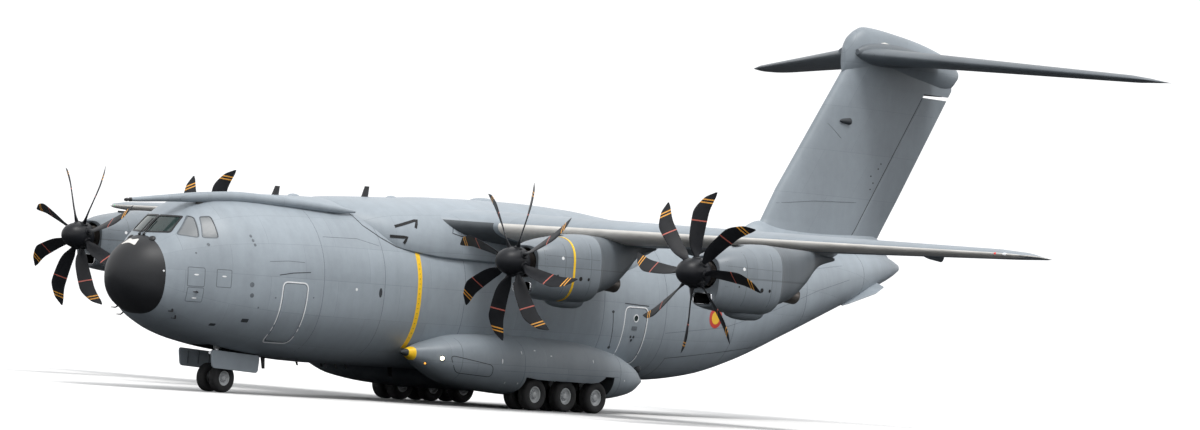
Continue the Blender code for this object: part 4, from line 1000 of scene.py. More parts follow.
def build_wing():
    hull_cut = Mesh().rows([hull_ring(s, -0.001) for s in spread(RADOME_S, 8.0, 0.6) + spread(8.5, 27.0, 0.85) + spread(27.6, CONE_END_S, 0.8)], mat=0).make("cutter", [skin], smooth=0, merge=0)
    rows = []
    for s in spread(8.60, 26.0, 0.22):
        w, top, base, power = hermite(WING_FAIRING, s)
        ring = []
        for k in range(SIDES):
            t = 2 * pi * (k + 0.5) / SIDES
            c, z = cos(t), sin(t)
            if z > 0:
                r = ((abs(c) / w) ** power + (z / (top - base)) ** power) ** (-1 / power)
            else:
                r = ((abs(c) / w) ** 2 + (z / 0.5) ** 2) ** -0.5
            ring.append(P(r * c, s, base + r * z))
        rows.append(ring)
    fairing = Mesh().rows(rows).make("wing_fairing_skin", [skin], smooth=0)
    carve(fairing, hull_cut, keep=True)
    finish_piece(fairing, replaces="wing_fairing", smooth=35)

    first, last = TRAILING[0][1], TRAILING[-1][2]
    for side, name in SIDE_NAMES:
        spans = [(l, None) for l in spread(0.9, 2.8, 0.95) + [first - ROOT_GAP]]
        for label, l0, l1, hinge, drop in TRAILING:
            gap = ROOT_GAP if l0 == first else END_GAP
            k = 0.45 if drop else 0.58
            start = l0 - gap + STEP
            stop = last + END_GAP - STEP if label == "aileron" else l1
            spans += [(l, (hinge, k, 1.0 if drop else k)) for l in sorted({start, stop} | {
                l for l in spread(start, stop, 0.75)} | {row[0] for row in WING if start < row[0] < stop})]
        spans += [(l, None) for l in (last + END_GAP, 20.3, 20.5, 20.7, 20.9, 21.0, 21.08, 21.15, 21.2)]
        rows, kinds = [], []
        for l, cut in spans:
            place, ratio, chord = wing_place(l, side)
            if l > 20.9:
                ratio *= sqrt(max(0.03, 1 - ((l - 20.9) / 0.31) ** 2)) * 1.25
            ring = section(place, ratio, chord, *(cut or ()))
            rows.append(ring)
        n = max(len(r) for r in rows)
        m = Mesh()
        # full and cove outlines differ in length, so each run of like rows is one solid
        runs, current = [], [rows[0]]
        for row in rows[1:]:
            if len(row) == len(current[-1]):
                current.append(row)
            else:
                runs.append(current)
                current = [row]
        runs.append(current)
        for run in runs:
            count = len(run[0])
            reach = [abs(row[0].x) / SCALE for row in run]
            edge = lambda i, j: 3 if count == 41 and 17 <= j <= 23 else 1 if (j < 2 or j >= count - 9) and min(reach[min(i, len(reach) - 2):][:2]) > 3.3 else 0
            m.rows(run, mat=edge)
        wing = m.make(f"wing_{name}_skin", [wing_paint, edge_paint, wing_paint, line_dark], smooth=0)
        carve(wing, hull_cut, keep=True)
        finish_piece(wing, replaces=f"wing_{name}")
        # glove blending the wing root into the fairing; its underside and nose take painted shade
        rows = []
        for l in spread(1.5, 3.5, 0.1):
            s0, chord, h, ratio = linear(WING, l)
            place = wing_place(l, side)[0]
            f = (3.5 - l) / 2.0
            lead = 2.1 * f**1.35
            deep = ratio * (1.012 - 0.02 * (l > 3.42))
            ring = []
            xs = LEAD[1:13]
            for x, sign in [(0.0, 1)] + [(x, 1) for x in xs] + [(x, -1) for x in reversed(xs)]:
                z = sign * thickness(x) * deep * (1.0 if sign > 0 else 1.0 + 0.25 * f)
                p = place(x, z)
                p.y -= lead * max(0.0, 1 - x / 0.40) * SCALE
                ring.append(p)
            rows.append(ring)
        finish_piece(Mesh().rows(rows, mat=lambda i, j: 1 if j < 2 or j >= 12 else 0).make(f"wing_root_glove_{name}", [wing_paint, root_painted_shade], smooth=60), smooth=60)
        m = Mesh()
        for l, depth in HINGE_FAIRINGS:
            m.rows(pod(side, l, depth, dense(FAIRING_FIXED, 0.02)))
        finish_piece(m.make(f"hinge_pods_{name}", [nacelle_paint]))
        for label, l0, l1, hinge, drop in TRAILING:
            stations = sorted({l for l in spread(l0, l1, 0.8)} | {row[0] for row in WING if l0 < row[0] < l1})
            m = Mesh().rows(mover(lambda q: wing_place(q, side), stations, hinge))
            obj = m.make(f"{label}_{name}_skin", [wing_paint])
            body = f"{label}_{name}"
            finish_piece(obj, body, body)
            pods = [(l, depth) for l, depth in HINGE_FAIRINGS if l0 < l < l1 and drop]
            if pods:
                m = Mesh()
                for l, depth in pods:
                    m.rows(pod(side, l, depth, dense(FAIRING_MOVING, 0.02)))
                finish_piece(m.make(f"{label}_pods_{name}", [nacelle_paint]), body)
        # tip lamps, coloured and white
        look = lamp_red if side > 0 else lamp_green
        m = Mesh()
        for l, mat in ((20.55, 0), (20.83, 1)):
            place, ratio, chord = wing_place(l, side)
            p = place(0.02, 0)
            c = (p.x / SCALE, p.y / SCALE + MID, p.z / SCALE)
            m.lathe([(-0.12, 0.004), (-0.10, 0.030), (-0.04, 0.042), (0.04, 0.042), (0.10, 0.030), (0.12, 0.004)], c, (1, 0.65 * side, 0), 18, mat=mat)
        finish_piece(m.make(f"tip_lamps_{name}", [look, lamp_white]))
    bpy.data.objects.remove(hull_cut, do_unlink=True)


def build_tail():
    low, high = RUDDER_H
    below, above = low - RUDDER_GAP[0], high + RUDDER_GAP[1]
    m = Mesh()
    full = [h for h in spread(6.3, below, 0.25)]
    m.rows([section(*fin_place(h)) for h in full], mat=0)
    mid = sorted({h for h in spread(below + STEP, above - STEP, 0.45)} | {7.35, 8.6})
    m.rows([section(*fin_place(h), RUDDER_HINGE, 0.66, 0.66, 1.2) for h in mid], mat=lambda i, j: 1 if 17 <= j <= 23 else 0)
    top_rows = [section(*fin_place(h)) for h in (above, 12.86, 13.0)]
    for h in (13.2, 13.4, 13.6):
        s0, chord, ratio = FIN[-1][1] + 0.743 * (h - 13.0), 7.0 - 0.85 * (h - 13.0), FIN[-1][3]
        top_rows.append(section(lambda x, z: P(z * 7.0, s0 + x * chord, h), ratio * 2, 7.0))
    m.rows(top_rows, mat=0)
    rows = []
    for ahead, behind in ((above - 0.050, above - 0.018), (above + 0.01, above + 0.01)):
        place, place_behind = fin_place(ahead)[0], fin_place(behind)[0]
        rows.append([place(RUDDER_HINGE - 0.02, 0.018), place_behind(RUDDER_HINGE + 0.17, 0.009), place_behind(RUDDER_HINGE + 0.17, -0.009), place(RUDDER_HINGE - 0.02, -0.018)])
    m.rows(rows, mat=1)
    fin = m.make("fin_skin", [fin_paint, line_dark])
    cut = Mesh().rows([hull_ring(s, -0.001) for s in spread(29.0, CONE_END_S, 0.8)], mat=0).make("cutter", [skin], smooth=0, merge=0)
    carve(fin, cut, keep=True)
    finish_piece(fin, replaces="fin")
    m = Mesh().rows(mover(fin_place, sorted({h for h in spread(low, high, 0.45)} | {7.35, 8.6}), RUDDER_HINGE))
    finish_piece(m.make("rudder_skin", [fin_paint]), "rudder", "rudder")

    rows = []
    for s in [37.20, 37.25] + spread(37.32, 44.3, 0.12) + [44.36, 44.40]:
        w, top, bottom = hermite(FIN_CAP, s)
        zc = (top + bottom) / 2
        ring = []
        for k in range(56):
            t = 2 * pi * (k + 0.5) / 56
            c, z = cos(t), sin(t)
            e = 2.2
            r = ((abs(c) / w) ** e + (abs(z) / (top - zc)) ** e) ** (-1 / e)
            low_part = max(0.0, -r * z / (top - zc))
            ring.append(P(r * c * (1 - 0.50 * low_part**1.5), s, zc + r * z))
        rows.append(ring)
    finish_piece(Mesh().rows(rows).make("fin_cap_skin", [fin_paint], smooth=60), replaces="fin_cap", smooth=60)

    def cap_side(s, h, side):
        w, top, bottom = hermite(FIN_CAP, s)
        zc = (top + bottom) / 2
        z = min(0.98, abs(h - zc) / (top - zc))
        return P(side * w * (1 - z**2.2) ** (1 / 2.2), s, h), Vector((side, 0, 0.4)).normalized()
    m = Mesh()
    for side in (1, -1):
        line = subdivided([(38.9, 13.95), (38.95, 14.42), (39.15, 14.45), (41.3, 14.08)], 0.1, False)
        ribbon(m, [cap_side(a, b, side) for a, b in line], 0.045, 0, False, up=0.006, down=0.02)
    finish_piece(m.make("fin_cap_marks", [edge_paint], smooth=40), smooth=40)

    (inner, outer) = ELEVATOR_L
    m = Mesh()
    tip = [(l, None) for l in (outer + END_GAP, 8.85, 9.0, 9.15, 9.28, 9.38, 9.44)]
    for side in (1, -1):
        m.rows([section(*tail_place(l, side)) for l in (0.0, 0.3, 0.62, inner - END_GAP)])
        span = spread(inner - END_GAP + STEP, outer + END_GAP - STEP, 0.8)
        m.rows([section(*tail_place(l, side), ELEVATOR_HINGE, 0.58, 0.58) for l in span], mat=lambda i, j: 2 if 17 <= j <= 23 else 0)
        rings = []
        for l, _ in tip:
            place, ratio, chord = tail_place(l, side)
            if l > 9.0:
                ratio *= sqrt(max(0.04, 1 - ((l - 9.0) / 0.45) ** 2)) * 1.1
            rings.append(section(place, ratio, chord))
        m.rows(rings)
    finish_piece(m.make("tailplane_skin", [tail_paint_painted_shade, edge_paint, line_dark]), replaces="tailplane")
    for side, name in SIDE_NAMES:
        m = Mesh().rows(mover(lambda q: tail_place(q, side), spread(inner, outer, 0.8), ELEVATOR_HINGE))
        finish_piece(m.make(f"elevator_{name}_skin", [tail_paint_painted_shade]), f"elevator_{name}", f"elevator_{name}")
        rows = []
        for s, out_l, w in ((36.6, 1.25, 0.035), (36.9, 1.33, 0.05), (38.2, 1.55, 0.05), (38.9, 1.35, 0.04)):
            hw, top, bottom, zc = fuselage_at(s)
            h = bottom + 0.32
            rows.append([P(side * 0.3, s, h + 0.30 - w), P(side * out_l, s, h - 0.10 - w * 0.6),
                         P(side * (out_l + 0.02), s, h - 0.11), P(side * out_l, s, h - 0.10 + w * 0.6), P(side * 0.3, s, h + 0.30 + w)])
        strake = Mesh().rows(rows).make(f"tail_strake_{name}_skin", [skin], smooth=0)
        carve(strake, cut, keep=True)
        finish_piece(strake, replaces=f"tail_strake_{name}", smooth=20)
    bpy.data.objects.remove(cut, do_unlink=True)

    # fillet between the fin's foot and the fuselage, and fairings at the tailplane's root
    rows = []
    for s in spread(31.1, 41.0, 0.25):
        s0, chord, ratio = linear(FIN, 6.75)
        x = (s - s0) / chord
        core = thickness(min(max(x, 0), 1)) * ratio * 2 * chord if 0 < x < 1 else 0.0
        k = min(1.0, (s - 31.1) / 1.8) * min(1.0, (41.0 - s) / 1.2)
        k = k * k * (3 - 2 * k)
        w, rise = core + 0.05 + 0.42 * k, 0.02 + 0.62 * k
        top = fuselage_at(s)[1]
        ring = []
        for t in range(13):
            a = pi * t / 12
            ring.append(P(w * cos(a) * (1 - 0.35 * sin(a)), s, top - 0.16 + (0.16 + rise) * sin(a) ** 1.6))
        ring += [P(-w * 0.6, s, top - 0.3), P(w * 0.6, s, top - 0.3)]
        rows.append(ring)
    finish_piece(Mesh().rows(rows).make("fin_root_fillet", [skin], smooth=50), smooth=50)
    for side, name in SIDE_NAMES:
        rows = []
        for x in spread(-0.02, 0.92, 0.05):
            s0, chord, h, ratio = linear(TAILPLANE, 0.5)
            t = thickness(min(max(x, 0.001), 1)) * ratio * chord + 0.05
            k = sin(pi * min(max((x + 0.05) / 1.05, 0), 1)) ** 0.5
            ring = []
            for a in range(16):
                q = 2 * pi * a / 16
                ring.append(P(side * (0.40 + 0.34 * k * cos(q)), s0 + x * chord, h + 0.06 + (t + 0.10 * k) * sin(q)))
            rows.append(ring)
        finish_piece(Mesh().rows(rows).make(f"tailplane_root_fairing_{name}", [tail_paint_painted_shade], smooth=50), smooth=50)


# ------------------------------------------------------------ power
def build_nacelles():
    for engine in ENGINES:
        name, l, s0, sense = engine
        side = 1 if l > 0 else -1
        n = 72
        rows, kinds = [], []

        def circle(r, aft, squash=1.0):
            return [P(l + r * cos(2 * pi * (k + 0.5) / n), s0 + aft, ENGINE_AXIS_H + r * sin(2 * pi * (k + 0.5) / n)) for k in range(n)]

        def outline(aft, shrink=0.0):
            w, top, bottom, zc = hermite(NACELLE, aft)
            ring = []
            for k in range(n):
                t = 2 * pi * (k + 0.5) / n
                c, z = cos(t), sin(t)
                b = (top - zc if z > 0 else zc - bottom) - shrink
                e = NACELLE_POWER
                r = ((abs(c) / (w - shrink)) ** e + (abs(z) / b) ** e) ** (-1 / e)
                ring.append(P(l + r * c, s0 + aft, zc + r * z))
            return ring
        # the first two rows, the duct behind the spinner, take painted shade
        rows = [circle(0.46, 1.1), circle(0.46, 0.60), circle(0.50, 0.535), circle(0.53, 0.52)]
        front = len(rows)
        along = [0.53, 0.58] + spread(0.66, 3.18, 0.16) + [3.26, 3.34, 3.43] + spread(3.52, 6.5, 0.15) + spread(6.6, 7.2, 0.1)
        # rows from here aft take the darker copy of the nacelle grey, painted shade under the wing
        painted_shade_from = along.index(3.26)
        ring = outline(0.50, 0.05)
        rows += [[Vector(p) + Vector((0, 0.006, 0)) for p in ring], [Vector(p) for p in outline(0.50, 0.015)]]
        rows += [outline(a) for a in along]
        body = Mesh().rows(rows, mat=lambda i, j: 2 if i < 2 else 3 if i - front - 2 >= painted_shade_from else 0).make(f"nacelle_{name}_skin", [nacelle_paint, cabin, hollow_shade_black, nacelle_aft_painted_shade], smooth=0)
        # the cut walls of the intake mouth take material 2, painted shade of the opening
        mouth = rounded([(l - 0.37, 4.01), (l + 0.37, 4.01), (l + 0.37, 4.33), (l - 0.37, 4.33)], 0.16, 8)
        carve(body, prism_obj(mouth, s0 + 0.2, s0 + 1.6, "s", 2))
        finish_piece(body, replaces=f"nacelle_{name}", smooth=35)
        # polished lip of the mouth
        lip, rows = Mesh(), []
        c = Vector((l, 4.17))
        for q in rounded([(l - 0.385, 3.995), (l + 0.385, 3.995), (l + 0.385, 4.345), (l - 0.385, 4.345)], 0.17, 8):
            out = (Vector(q) - c).normalized()
            ring = []
            for k in range(10):
                a = 2 * pi * k / 10
                ring.append(P(q[0] + out.x * 0.030 * cos(a), s0 + 0.50 + 0.065 * sin(a), q[1] + out.y * 0.030 * cos(a)))
            rows.append(ring)
        lip.rows(rows, closed=True)
        finish_piece(lip.make(f"intake_lip_{name}", [bright], smooth=60), smooth=60)
        # cooler scoop under the belly, open behind; its inner rows in painted shade
        rows, m = [], Mesh()
        for a, w, d in ((1.75, 0.10, 0.02), (1.95, 0.30, 0.12), (2.2, 0.40, 0.17), (2.6, 0.42, 0.20), (3.1, 0.40, 0.20), (3.20, 0.39, 0.19), (3.18, 0.35, 0.15), (2.8, 0.30, 0.10)):
            bottom = hermite(NACELLE, a)[2]
            rows.append([P(l + w * cos(q) if 0 < q < pi else l + w * cos(q), s0 + a, bottom + 0.10 - (0.10 + d) * sin(q) ** 0.8 if 0 < q < pi else bottom + 0.10)
                         for q in (pi * k / 16 for k in range(17))])
        m.rows(rows, mat=lambda i, j: 1 if i >= 5 else 0)
        finish_piece(m.make(f"cooler_scoop_{name}", [nacelle_paint, hollow_shade_black], smooth=40), smooth=40)
        # exhaust; the inside of the pipe in painted shade
        m = Mesh()
        m.tube([(l + side * 0.10, s0 + 3.5, 4.72), (l + side * 0.16, s0 + 4.3, 4.56), (l + side * 0.20, s0 + 4.95, 4.47)], [0.34, 0.30, 0.27], 32, caps=False)
        m.tube([(l + side * 0.20, s0 + 4.95, 4.47), (l + side * 0.16, s0 + 4.3, 4.56), (l + side * 0.12, s0 + 3.8, 4.66)], [0.255, 0.245, 0.24], 32, caps=False, mat=1)
        m.tube([(l + side * 0.20, s0 + 4.93, 4.472), (l + side * 0.2015, s0 + 4.96, 4.468)], [0.275, 0.262], 32, mat=0, caps=False)
        finish_piece(m.make(f"exhaust_{name}", [burnt, hollow_shade_black]))
        # seams, inspection ports and the top vent; the vent in painted shade of an opening, the ports in the same
        # near-black
        m = Mesh()
        for sd in (1, -1):
            for a0 in (1.55, 2.75):
                pts = [nacelle_side(engine, a0, h, sd) for h in np.linspace(4.0, 5.75, 22)]
                ribbon(m, pts, 0.016, 0, closed=False, up=0.0008)
            pts = [nacelle_side(engine, a, 5.28 - 0.02 * a, sd) for a in np.linspace(0.8, 3.2, 20)]
            ribbon(m, pts, 0.014, 0, closed=False, up=0.0008)
            for aft, h, r in ((2.28, 4.56, 0.075), (2.66, 4.56, 0.055), (1.25, 4.62, 0.03)):
                patch(m, oval((aft, h), r, r, 18), lambda u, v: nacelle_side(engine, u, v, sd), (1,), up=0.0016)
            patch(m, oval((1.42, 5.20), 0.055, 0.055, 18), lambda u, v: nacelle_side(engine, u, v, sd), (2,), up=0.002)
            for aft in (0.74, 0.80):
                for h in np.linspace(4.6, 5.4, 7):
                    patch(m, oval((aft, h), 0.012, 0.012, 8), lambda u, v: nacelle_side(engine, u, v, sd), (0,), rings=1, up=0.0016)
        top = hermite(NACELLE, 2.1)[1]
        m.box((l - 0.10, l + 0.10), (s0 + 1.9, s0 + 2.35), (top - 0.02, top + 0.035), mat=1)
        finish_piece(m.make(f"nacelle_marks_{name}", [line_soft, hollow_shade_black, white], smooth=0), smooth=0)
        if name == "left_inboard":
            rows = []
            for h in np.linspace(0, 1, 61):
                t = -pi / 2 + pi * h
                w, top, bottom, zc = hermite(NACELLE, 1.95)
                c, z = cos(t), sin(t)
                b = top - zc if z > 0 else zc - bottom
                r = ((abs(c) / w) ** NACELLE_POWER + (abs(z) / b) ** NACELLE_POWER) ** (-1 / NACELLE_POWER)
                rows.append((P(l + r * c, s0 + 1.95, zc + r * z), Vector((c / w, 0, z / b)).normalized()))
            m = Mesh()
            ribbon(m, rows[5:-4], 0.11, 0, closed=False, up=0.0016)
            finish_piece(m.make("nacelle_band_yellow", [yellow], smooth=60), smooth=60)


def build_propellers():
    section_x = [(-0.5, 0.0), (-0.47, 0.022), (-0.38, 0.048), (-0.22, 0.064), (0.0, 0.060), (0.25, 0.034), (0.5, 0.003),
                 (0.25, -0.012), (0.0, -0.026), (-0.22, -0.036), (-0.38, -0.032), (-0.47, -0.018)]
    for name, l, s0, sense in ENGINES:
        centre = P(l, s0, ENGINE_AXIS_H)
        m = Mesh()
        profile = [(-0.762, 0.004)] + [(-0.76 + 0.76 * (1 - cos(radians(a))), SPINNER_R * 0.985 * sin(radians(a)) ** 0.86) for a in range(6, 91, 6)]
        profile += [(0.10, SPINNER_R), (0.26, SPINNER_R), (0.285, SPINNER_R - 0.015), (0.285, 0.30), (0.45, 0.30), (0.45, 0.02)]
        m.lathe(profile, (l, s0, ENGINE_AXIS_H), (0, 1, 0), 64, mat=0)
        for k in range(8):
            angle = 2 * pi * (k + PROP_PHASE[name]) / 8
            turn = Matrix.Rotation(angle, 3, "Y")
            radii = spread(0.34, 0.60, 0.08) + spread(0.68, 1.60, 0.10)[0:] + [1.66, 1.70] + spread(1.78, 2.10, 0.08) + [2.18, 2.27, 2.31, 2.37, 2.41, 2.46, 2.50, 2.56, 2.61, 2.645, 2.662]
            rows, marks = [], []
            for radius in radii:
                chord, sweep, pitch = hermite(BLADE, radius)
                blend = min(1.0, max(0.0, (radius - 0.40) / 0.45))
                blend = blend * blend * (3 - 2 * blend)
                tipped = max(0.0, (radius - 2.5) / 0.165)
                chord *= (1 - 0.55 * tipped**2)
                p = radians(pitch)
                along = Vector((cos(p) * sense, sin(p), 0))
                thick = Vector((-sin(p) * sense, cos(p), 0))
                ring = []
                for i, (x, z) in enumerate(section_x):
                    q = 2 * pi * i / len(section_x)
                    round_x, round_z = -0.085 * cos(q), 0.085 * sin(q)
                    px = (x * chord) * blend + round_x * (1 - blend)
                    pz = (z * chord) * blend + round_z * (1 - blend)
                    point = along * (px - sweep) + thick * pz + Vector((0, 0, radius))
                    ring.append(centre + (turn @ point) * SCALE)
                rows.append(ring)
                marks.append(radius)

            def look(i, j):
                mid = (marks[i] + marks[i + 1]) / 2 if i + 1 < len(marks) else marks[i]
                if 1.66 < mid < 1.70:
                    return 2
                if 2.27 < mid < 2.31 or 2.37 < mid < 2.41:
                    return 3
                return 1
            m.rows(rows, mat=look)
            # cuff where the blade meets the spinner
            d = turn @ Vector((0, 0, 1))
            base = (l + d.x * 0.40, s0 + d.y * 0.40, ENGINE_AXIS_H + d.z * 0.40)
            m.lathe([(0.0, 0.15), (0.075, 0.15), (0.105, 0.125), (0.11, 0.04)], base, d, 24, mat=1)
        obj = m.make(f"propeller_{name}_detail", [spinner_black, blade_black, rose, orange], smooth=40)
        finish_piece(obj, f"propeller_{name}", f"propeller_{name}", smooth=40)


# ------------------------------------------------------------ gear
def wheel_mesh(m, l, s, h, radius, width, half_gap, rim, axle):
    sides = 72
    for sign in (1, -1):
        c = half_gap + width / 2
        w = width / 2
        prof = [(-0.62, rim), (-0.86, rim + 0.03), (-0.99, rim + 0.10), (-1.0, radius * 0.80), (-0.94, radius * 0.90), (-0.80, radius * 0.965),
                (-0.66, radius * 0.992), (-0.56, radius * 0.998), (-0.55, radius * 0.978), (-0.49, radius * 0.978), (-0.48, radius),
                (-0.21, radius), (-0.20, radius * 0.978), (-0.14, radius * 0.978), (-0.13, radius),
                (0.13, radius), (0.14, radius * 0.978), (0.20, radius * 0.978), (0.21, radius),
                (0.48, radius), (0.49, radius * 0.978), (0.55, radius * 0.978), (0.56, radius * 0.998), (0.66, radius * 0.992),
                (0.80, radius * 0.965), (0.94, radius * 0.90), (1.0, radius * 0.80), (0.99, rim + 0.10), (0.86, rim + 0.03), (0.62, rim)]
        m.lathe([(sign * (c + a * w), r) for a, r in prof], (l, s, h), (1, 0, 0), sides, mat=0, closed=True)
        # rim: flange, dish and hub, on the outer side
        o = sign
        prof = [(c - 0.60 * w, rim * 0.99), (c + 0.60 * w, rim * 0.99), (c + 0.72 * w, rim + 0.015), (c + 0.72 * w, rim - 0.02), (c + 0.45 * w, rim - 0.045),
                (c + 0.30 * w, rim * 0.62), (c + 0.34 * w, rim * 0.42), (c + 0.62 * w, rim * 0.36), (c + 0.66 * w, rim * 0.28), (c + 0.66 * w, 0.01)]
        m.lathe([(o * a, r) for a, r in prof], (l, s, h), (1, 0, 0), 48, mat=1)
        prof = [(c - 0.60 * w, 0.01), (c - 0.60 * w, rim * 0.99)]
        m.lathe([(o * a, r) for a, r in prof] + [(o * (c - 0.45 * w), rim * 0.99), (o * (c - 0.45 * w), 0.01)], (l, s, h), (1, 0, 0), 48, mat=2)
        for k in range(10):
            q = 2 * pi * k / 10
            at = (l + o * (c + 0.36 * w), s + rim * 0.52 * cos(q), h + rim * 0.52 * sin(q))
            m.lathe([(-0.02, 0.022), (0.035, 0.022), (0.035, 0.002)], at, (o, 0, 0), 8, mat=3)
    m.tube([(l - half_gap - width * 0.4, s, h), (l + half_gap + width * 0.4, s, h)], axle, 24, mat=3)


def build_gear():
    for side, name in SIDE_NAMES:
        centre = side * MAIN_TRACK_L
        for number, s in enumerate(MAIN_GEAR_S, 1):
            m = Mesh()
            wheel_mesh(m, centre, s, MAIN_AXLE_H, MAIN_AXLE_H, MAIN_TYRE_W, 0.12, 0.27, 0.09)
            body = f"main_wheels_{name}_{number}"
            finish_piece(m.make(f"{body}_detail", [tyre, gear_white, steel, steel], smooth=32), body, body, smooth=32)
        # shock struts, brake pipes and lugs on the trailing arms
        m = Mesh()
        for s in MAIN_GEAR_S:
            a, b = (centre, s - 0.02, 1.27), (centre, s + 0.10, MAIN_AXLE_H + 0.20)
            for off in (0.0,):
                m.tube([(centre, s + 0.36, 1.28), (centre, s + 0.26, 1.02)], 0.072, 20, mat=0)
                m.tube([(centre, s + 0.26, 1.02), (centre, s + 0.10, MAIN_AXLE_H + 0.10)], 0.045, 20, mat=1)
            m.tube([(centre - 0.13, s - 0.30, 1.24), (centre + 0.13, s - 0.30, 1.24)], 0.07, 18, mat=0)
            m.tube([(centre + 0.095, s - 0.28, 1.20), (centre + 0.10, s - 0.20, 0.95), (centre + 0.098, s - 0.10, 0.72)], 0.012, 10, mat=2)
        finish_piece(m.make(f"main_gear_struts_{name}", [gear_white, bright, black]))
        # ribs on the roof of the wheel bay
        m = Mesh()
        for k in range(8):
            s = 16.45 + 0.6 * k
            m.box(sorted((side * 2.40, side * 3.50)), (s, s + 0.05), (1.235, 1.30), mat=0)
        finish_piece(m.make(f"wheel_bay_ribs_{name}", [line_soft], smooth=0), smooth=0)

    m = Mesh()
    wheel_mesh(m, 0.0, NOSE_GEAR_S, NOSE_AXLE_H, NOSE_AXLE_H, NOSE_TYRE_W, 0.12, 0.23, 0.075)
    finish_piece(m.make("nose_wheels_detail", [tyre, gear_white, steel, steel], smooth=32), "nose_wheels", "nose_wheels", smooth=32)
    s, top = NOSE_GEAR_S, COCKPIT_FLOOR_H - 0.10
    m = Mesh()
    m.lathe([(NOSE_AXLE_H - 0.06, 0.07), (NOSE_AXLE_H + 0.02, 0.085), (0.98, 0.085), (0.98, 0.062), (1.20, 0.062)], (0, s, 0), (0, 0, 1), 32, mat=0)
    m.lathe([(1.18, 0.062), (1.415, 0.062)], (0, s, 0), (0, 0, 1), 32, mat=1)
    m.lathe([(1.22, 0.07), (1.22, 0.16), (1.36, 0.16), (1.36, 0.07)], (0, s, 0), (0, 0, 1), 32, mat=0, closed=True)
    m.tube([(-0.10, s, NOSE_AXLE_H), (0.10, s, NOSE_AXLE_H)], 0.12, 28, mat=0)
    for p, q in (((0, s + 0.15, 1.26), (0, s + 0.34, 1.03)), ((0, s + 0.34, 1.03), (0, s + 0.10, 0.80))):
        m.tube([p, q], 0.032, 12, mat=0)
    m.tube([(-0.07, s + 0.34, 1.03), (0.07, s + 0.34, 1.03)], 0.035, 12, mat=1)
    for x in (-0.13, 0.13):
        m.tube([(x, s - 0.20, 1.285), (x, s - 0.115, 1.285)], 0.055, 20, mat=2)
        m.tube([(x, s - 0.215, 1.285), (x, s - 0.20, 1.285)], 0.048, 20, mat=3)
        m.tube([(x, s - 0.12, 1.285), (x * 0.9, s - 0.02, 1.285)], 0.02, 10, mat=0)
    finish_piece(m.make("nose_steering_detail", [gear_white, bright, black, lamp_white]), "nose_steering", "nose_steering")
    m = Mesh()
    m.lathe([(1.425, 0.10), (1.425, 0.135), (1.62, 0.135), (1.64, 0.125), (top, 0.125), (top, 0.02)], (0, s, 0), (0, 0, 1), 32, mat=0)
    m.tube([(0, s, 1.75), (0, s - 0.90, top - 0.12)], 0.055, 20, mat=0)
    m.tube([(-0.30, s, 1.95), (0.30, s, 1.95)], 0.05, 16, mat=0)
    m.tube([(0.14, s + 0.02, 1.44), (0.15, s + 0.02, 2.2)], 0.016, 10, mat=1)
    finish_piece(m.make("nose_leg_detail", [gear_white, black]), replaces="nose_gear_leg")
    for side, name in SIDE_NAMES:
        outline = rounded([(3.95, 1.40), (6.25, 1.28), (6.20, 0.70), (4.05, 0.80)], 0.14, 6)
        l0 = side * (BAY_L[1] + 0.012)
        rows = []
        for l, inset in ((l0, 0.012), (l0 + side * 0.012, 0.0), (l0 + side * 0.048, 0.0), (l0 + side * 0.06, 0.012)):
            rows.append([P(l, a, b) for a, b in (grown(outline, -inset) if inset else outline)])
        m = Mesh().rows(rows, mat=lambda i, j: 0)
        for k in range(4):
            sk = 4.35 + 0.5 * k
            m.box(sorted((l0 - side * 0.02, l0 + side * 0.005)), (sk, sk + 0.04), (0.88, 1.30), mat=1)
        finish_piece(m.make(f"nose_gear_door_{name}_skin", [door_paint, line_soft], smooth=25), replaces=f"nose_gear_door_{name}", smooth=25)


def build_sponsons():
    cut = Mesh().rows([hull_ring(s, -0.001) for s in spread(8.5, 25.2, 0.8)], mat=0).make("cutter", [skin], smooth=0, merge=0)
    for side, name in SIDE_NAMES:
        stations = [11.00, 11.03, 11.08, 11.14, 11.2, 11.28, 11.36, 11.45, 11.54, 11.62] + spread(11.75, 23.4, 0.2) + [23.55, 23.64, 23.70]
        rows, n = [], 64
        for s in stations:
            lc, hc, w, up, down = hermite(SPONSON, s)
            ring = []
            for k in range(n):
                t = 2 * pi * (k + 0.5) / n
                c, z = cos(t), sin(t)
                b = up if z > 0 else down
                r = ((abs(c) / w) ** 2.5 + (abs(z) / b) ** 2.5) ** (-1 / 2.5)
                ring.append(P(side * (lc + r * c), s, hc + r * z))
            rows.append(ring)

        def look(i, j):
            mid = (stations[i] + stations[min(i + 1, len(stations) - 1)]) / 2
            return 2 if mid < 11.24 else (3 if mid < 11.52 else 0)
        sponson = Mesh().rows(rows, mat=look).make(f"sponson_{name}_skin", [pod_paint, cabin, line_dark, yellow], smooth=0)
        carve(sponson, cut, keep=True)
        bay = Mesh().box(sorted((side * 2.36, side * 3.80)), (16.20, 20.90), (0.0, 1.30), mat=2).make("cutter", [skin, cabin, line_dark], smooth=0)
        carve(sponson, bay)
        finish_piece(sponson, replaces=f"sponson_{name}")
    bpy.data.objects.remove(cut, do_unlink=True)


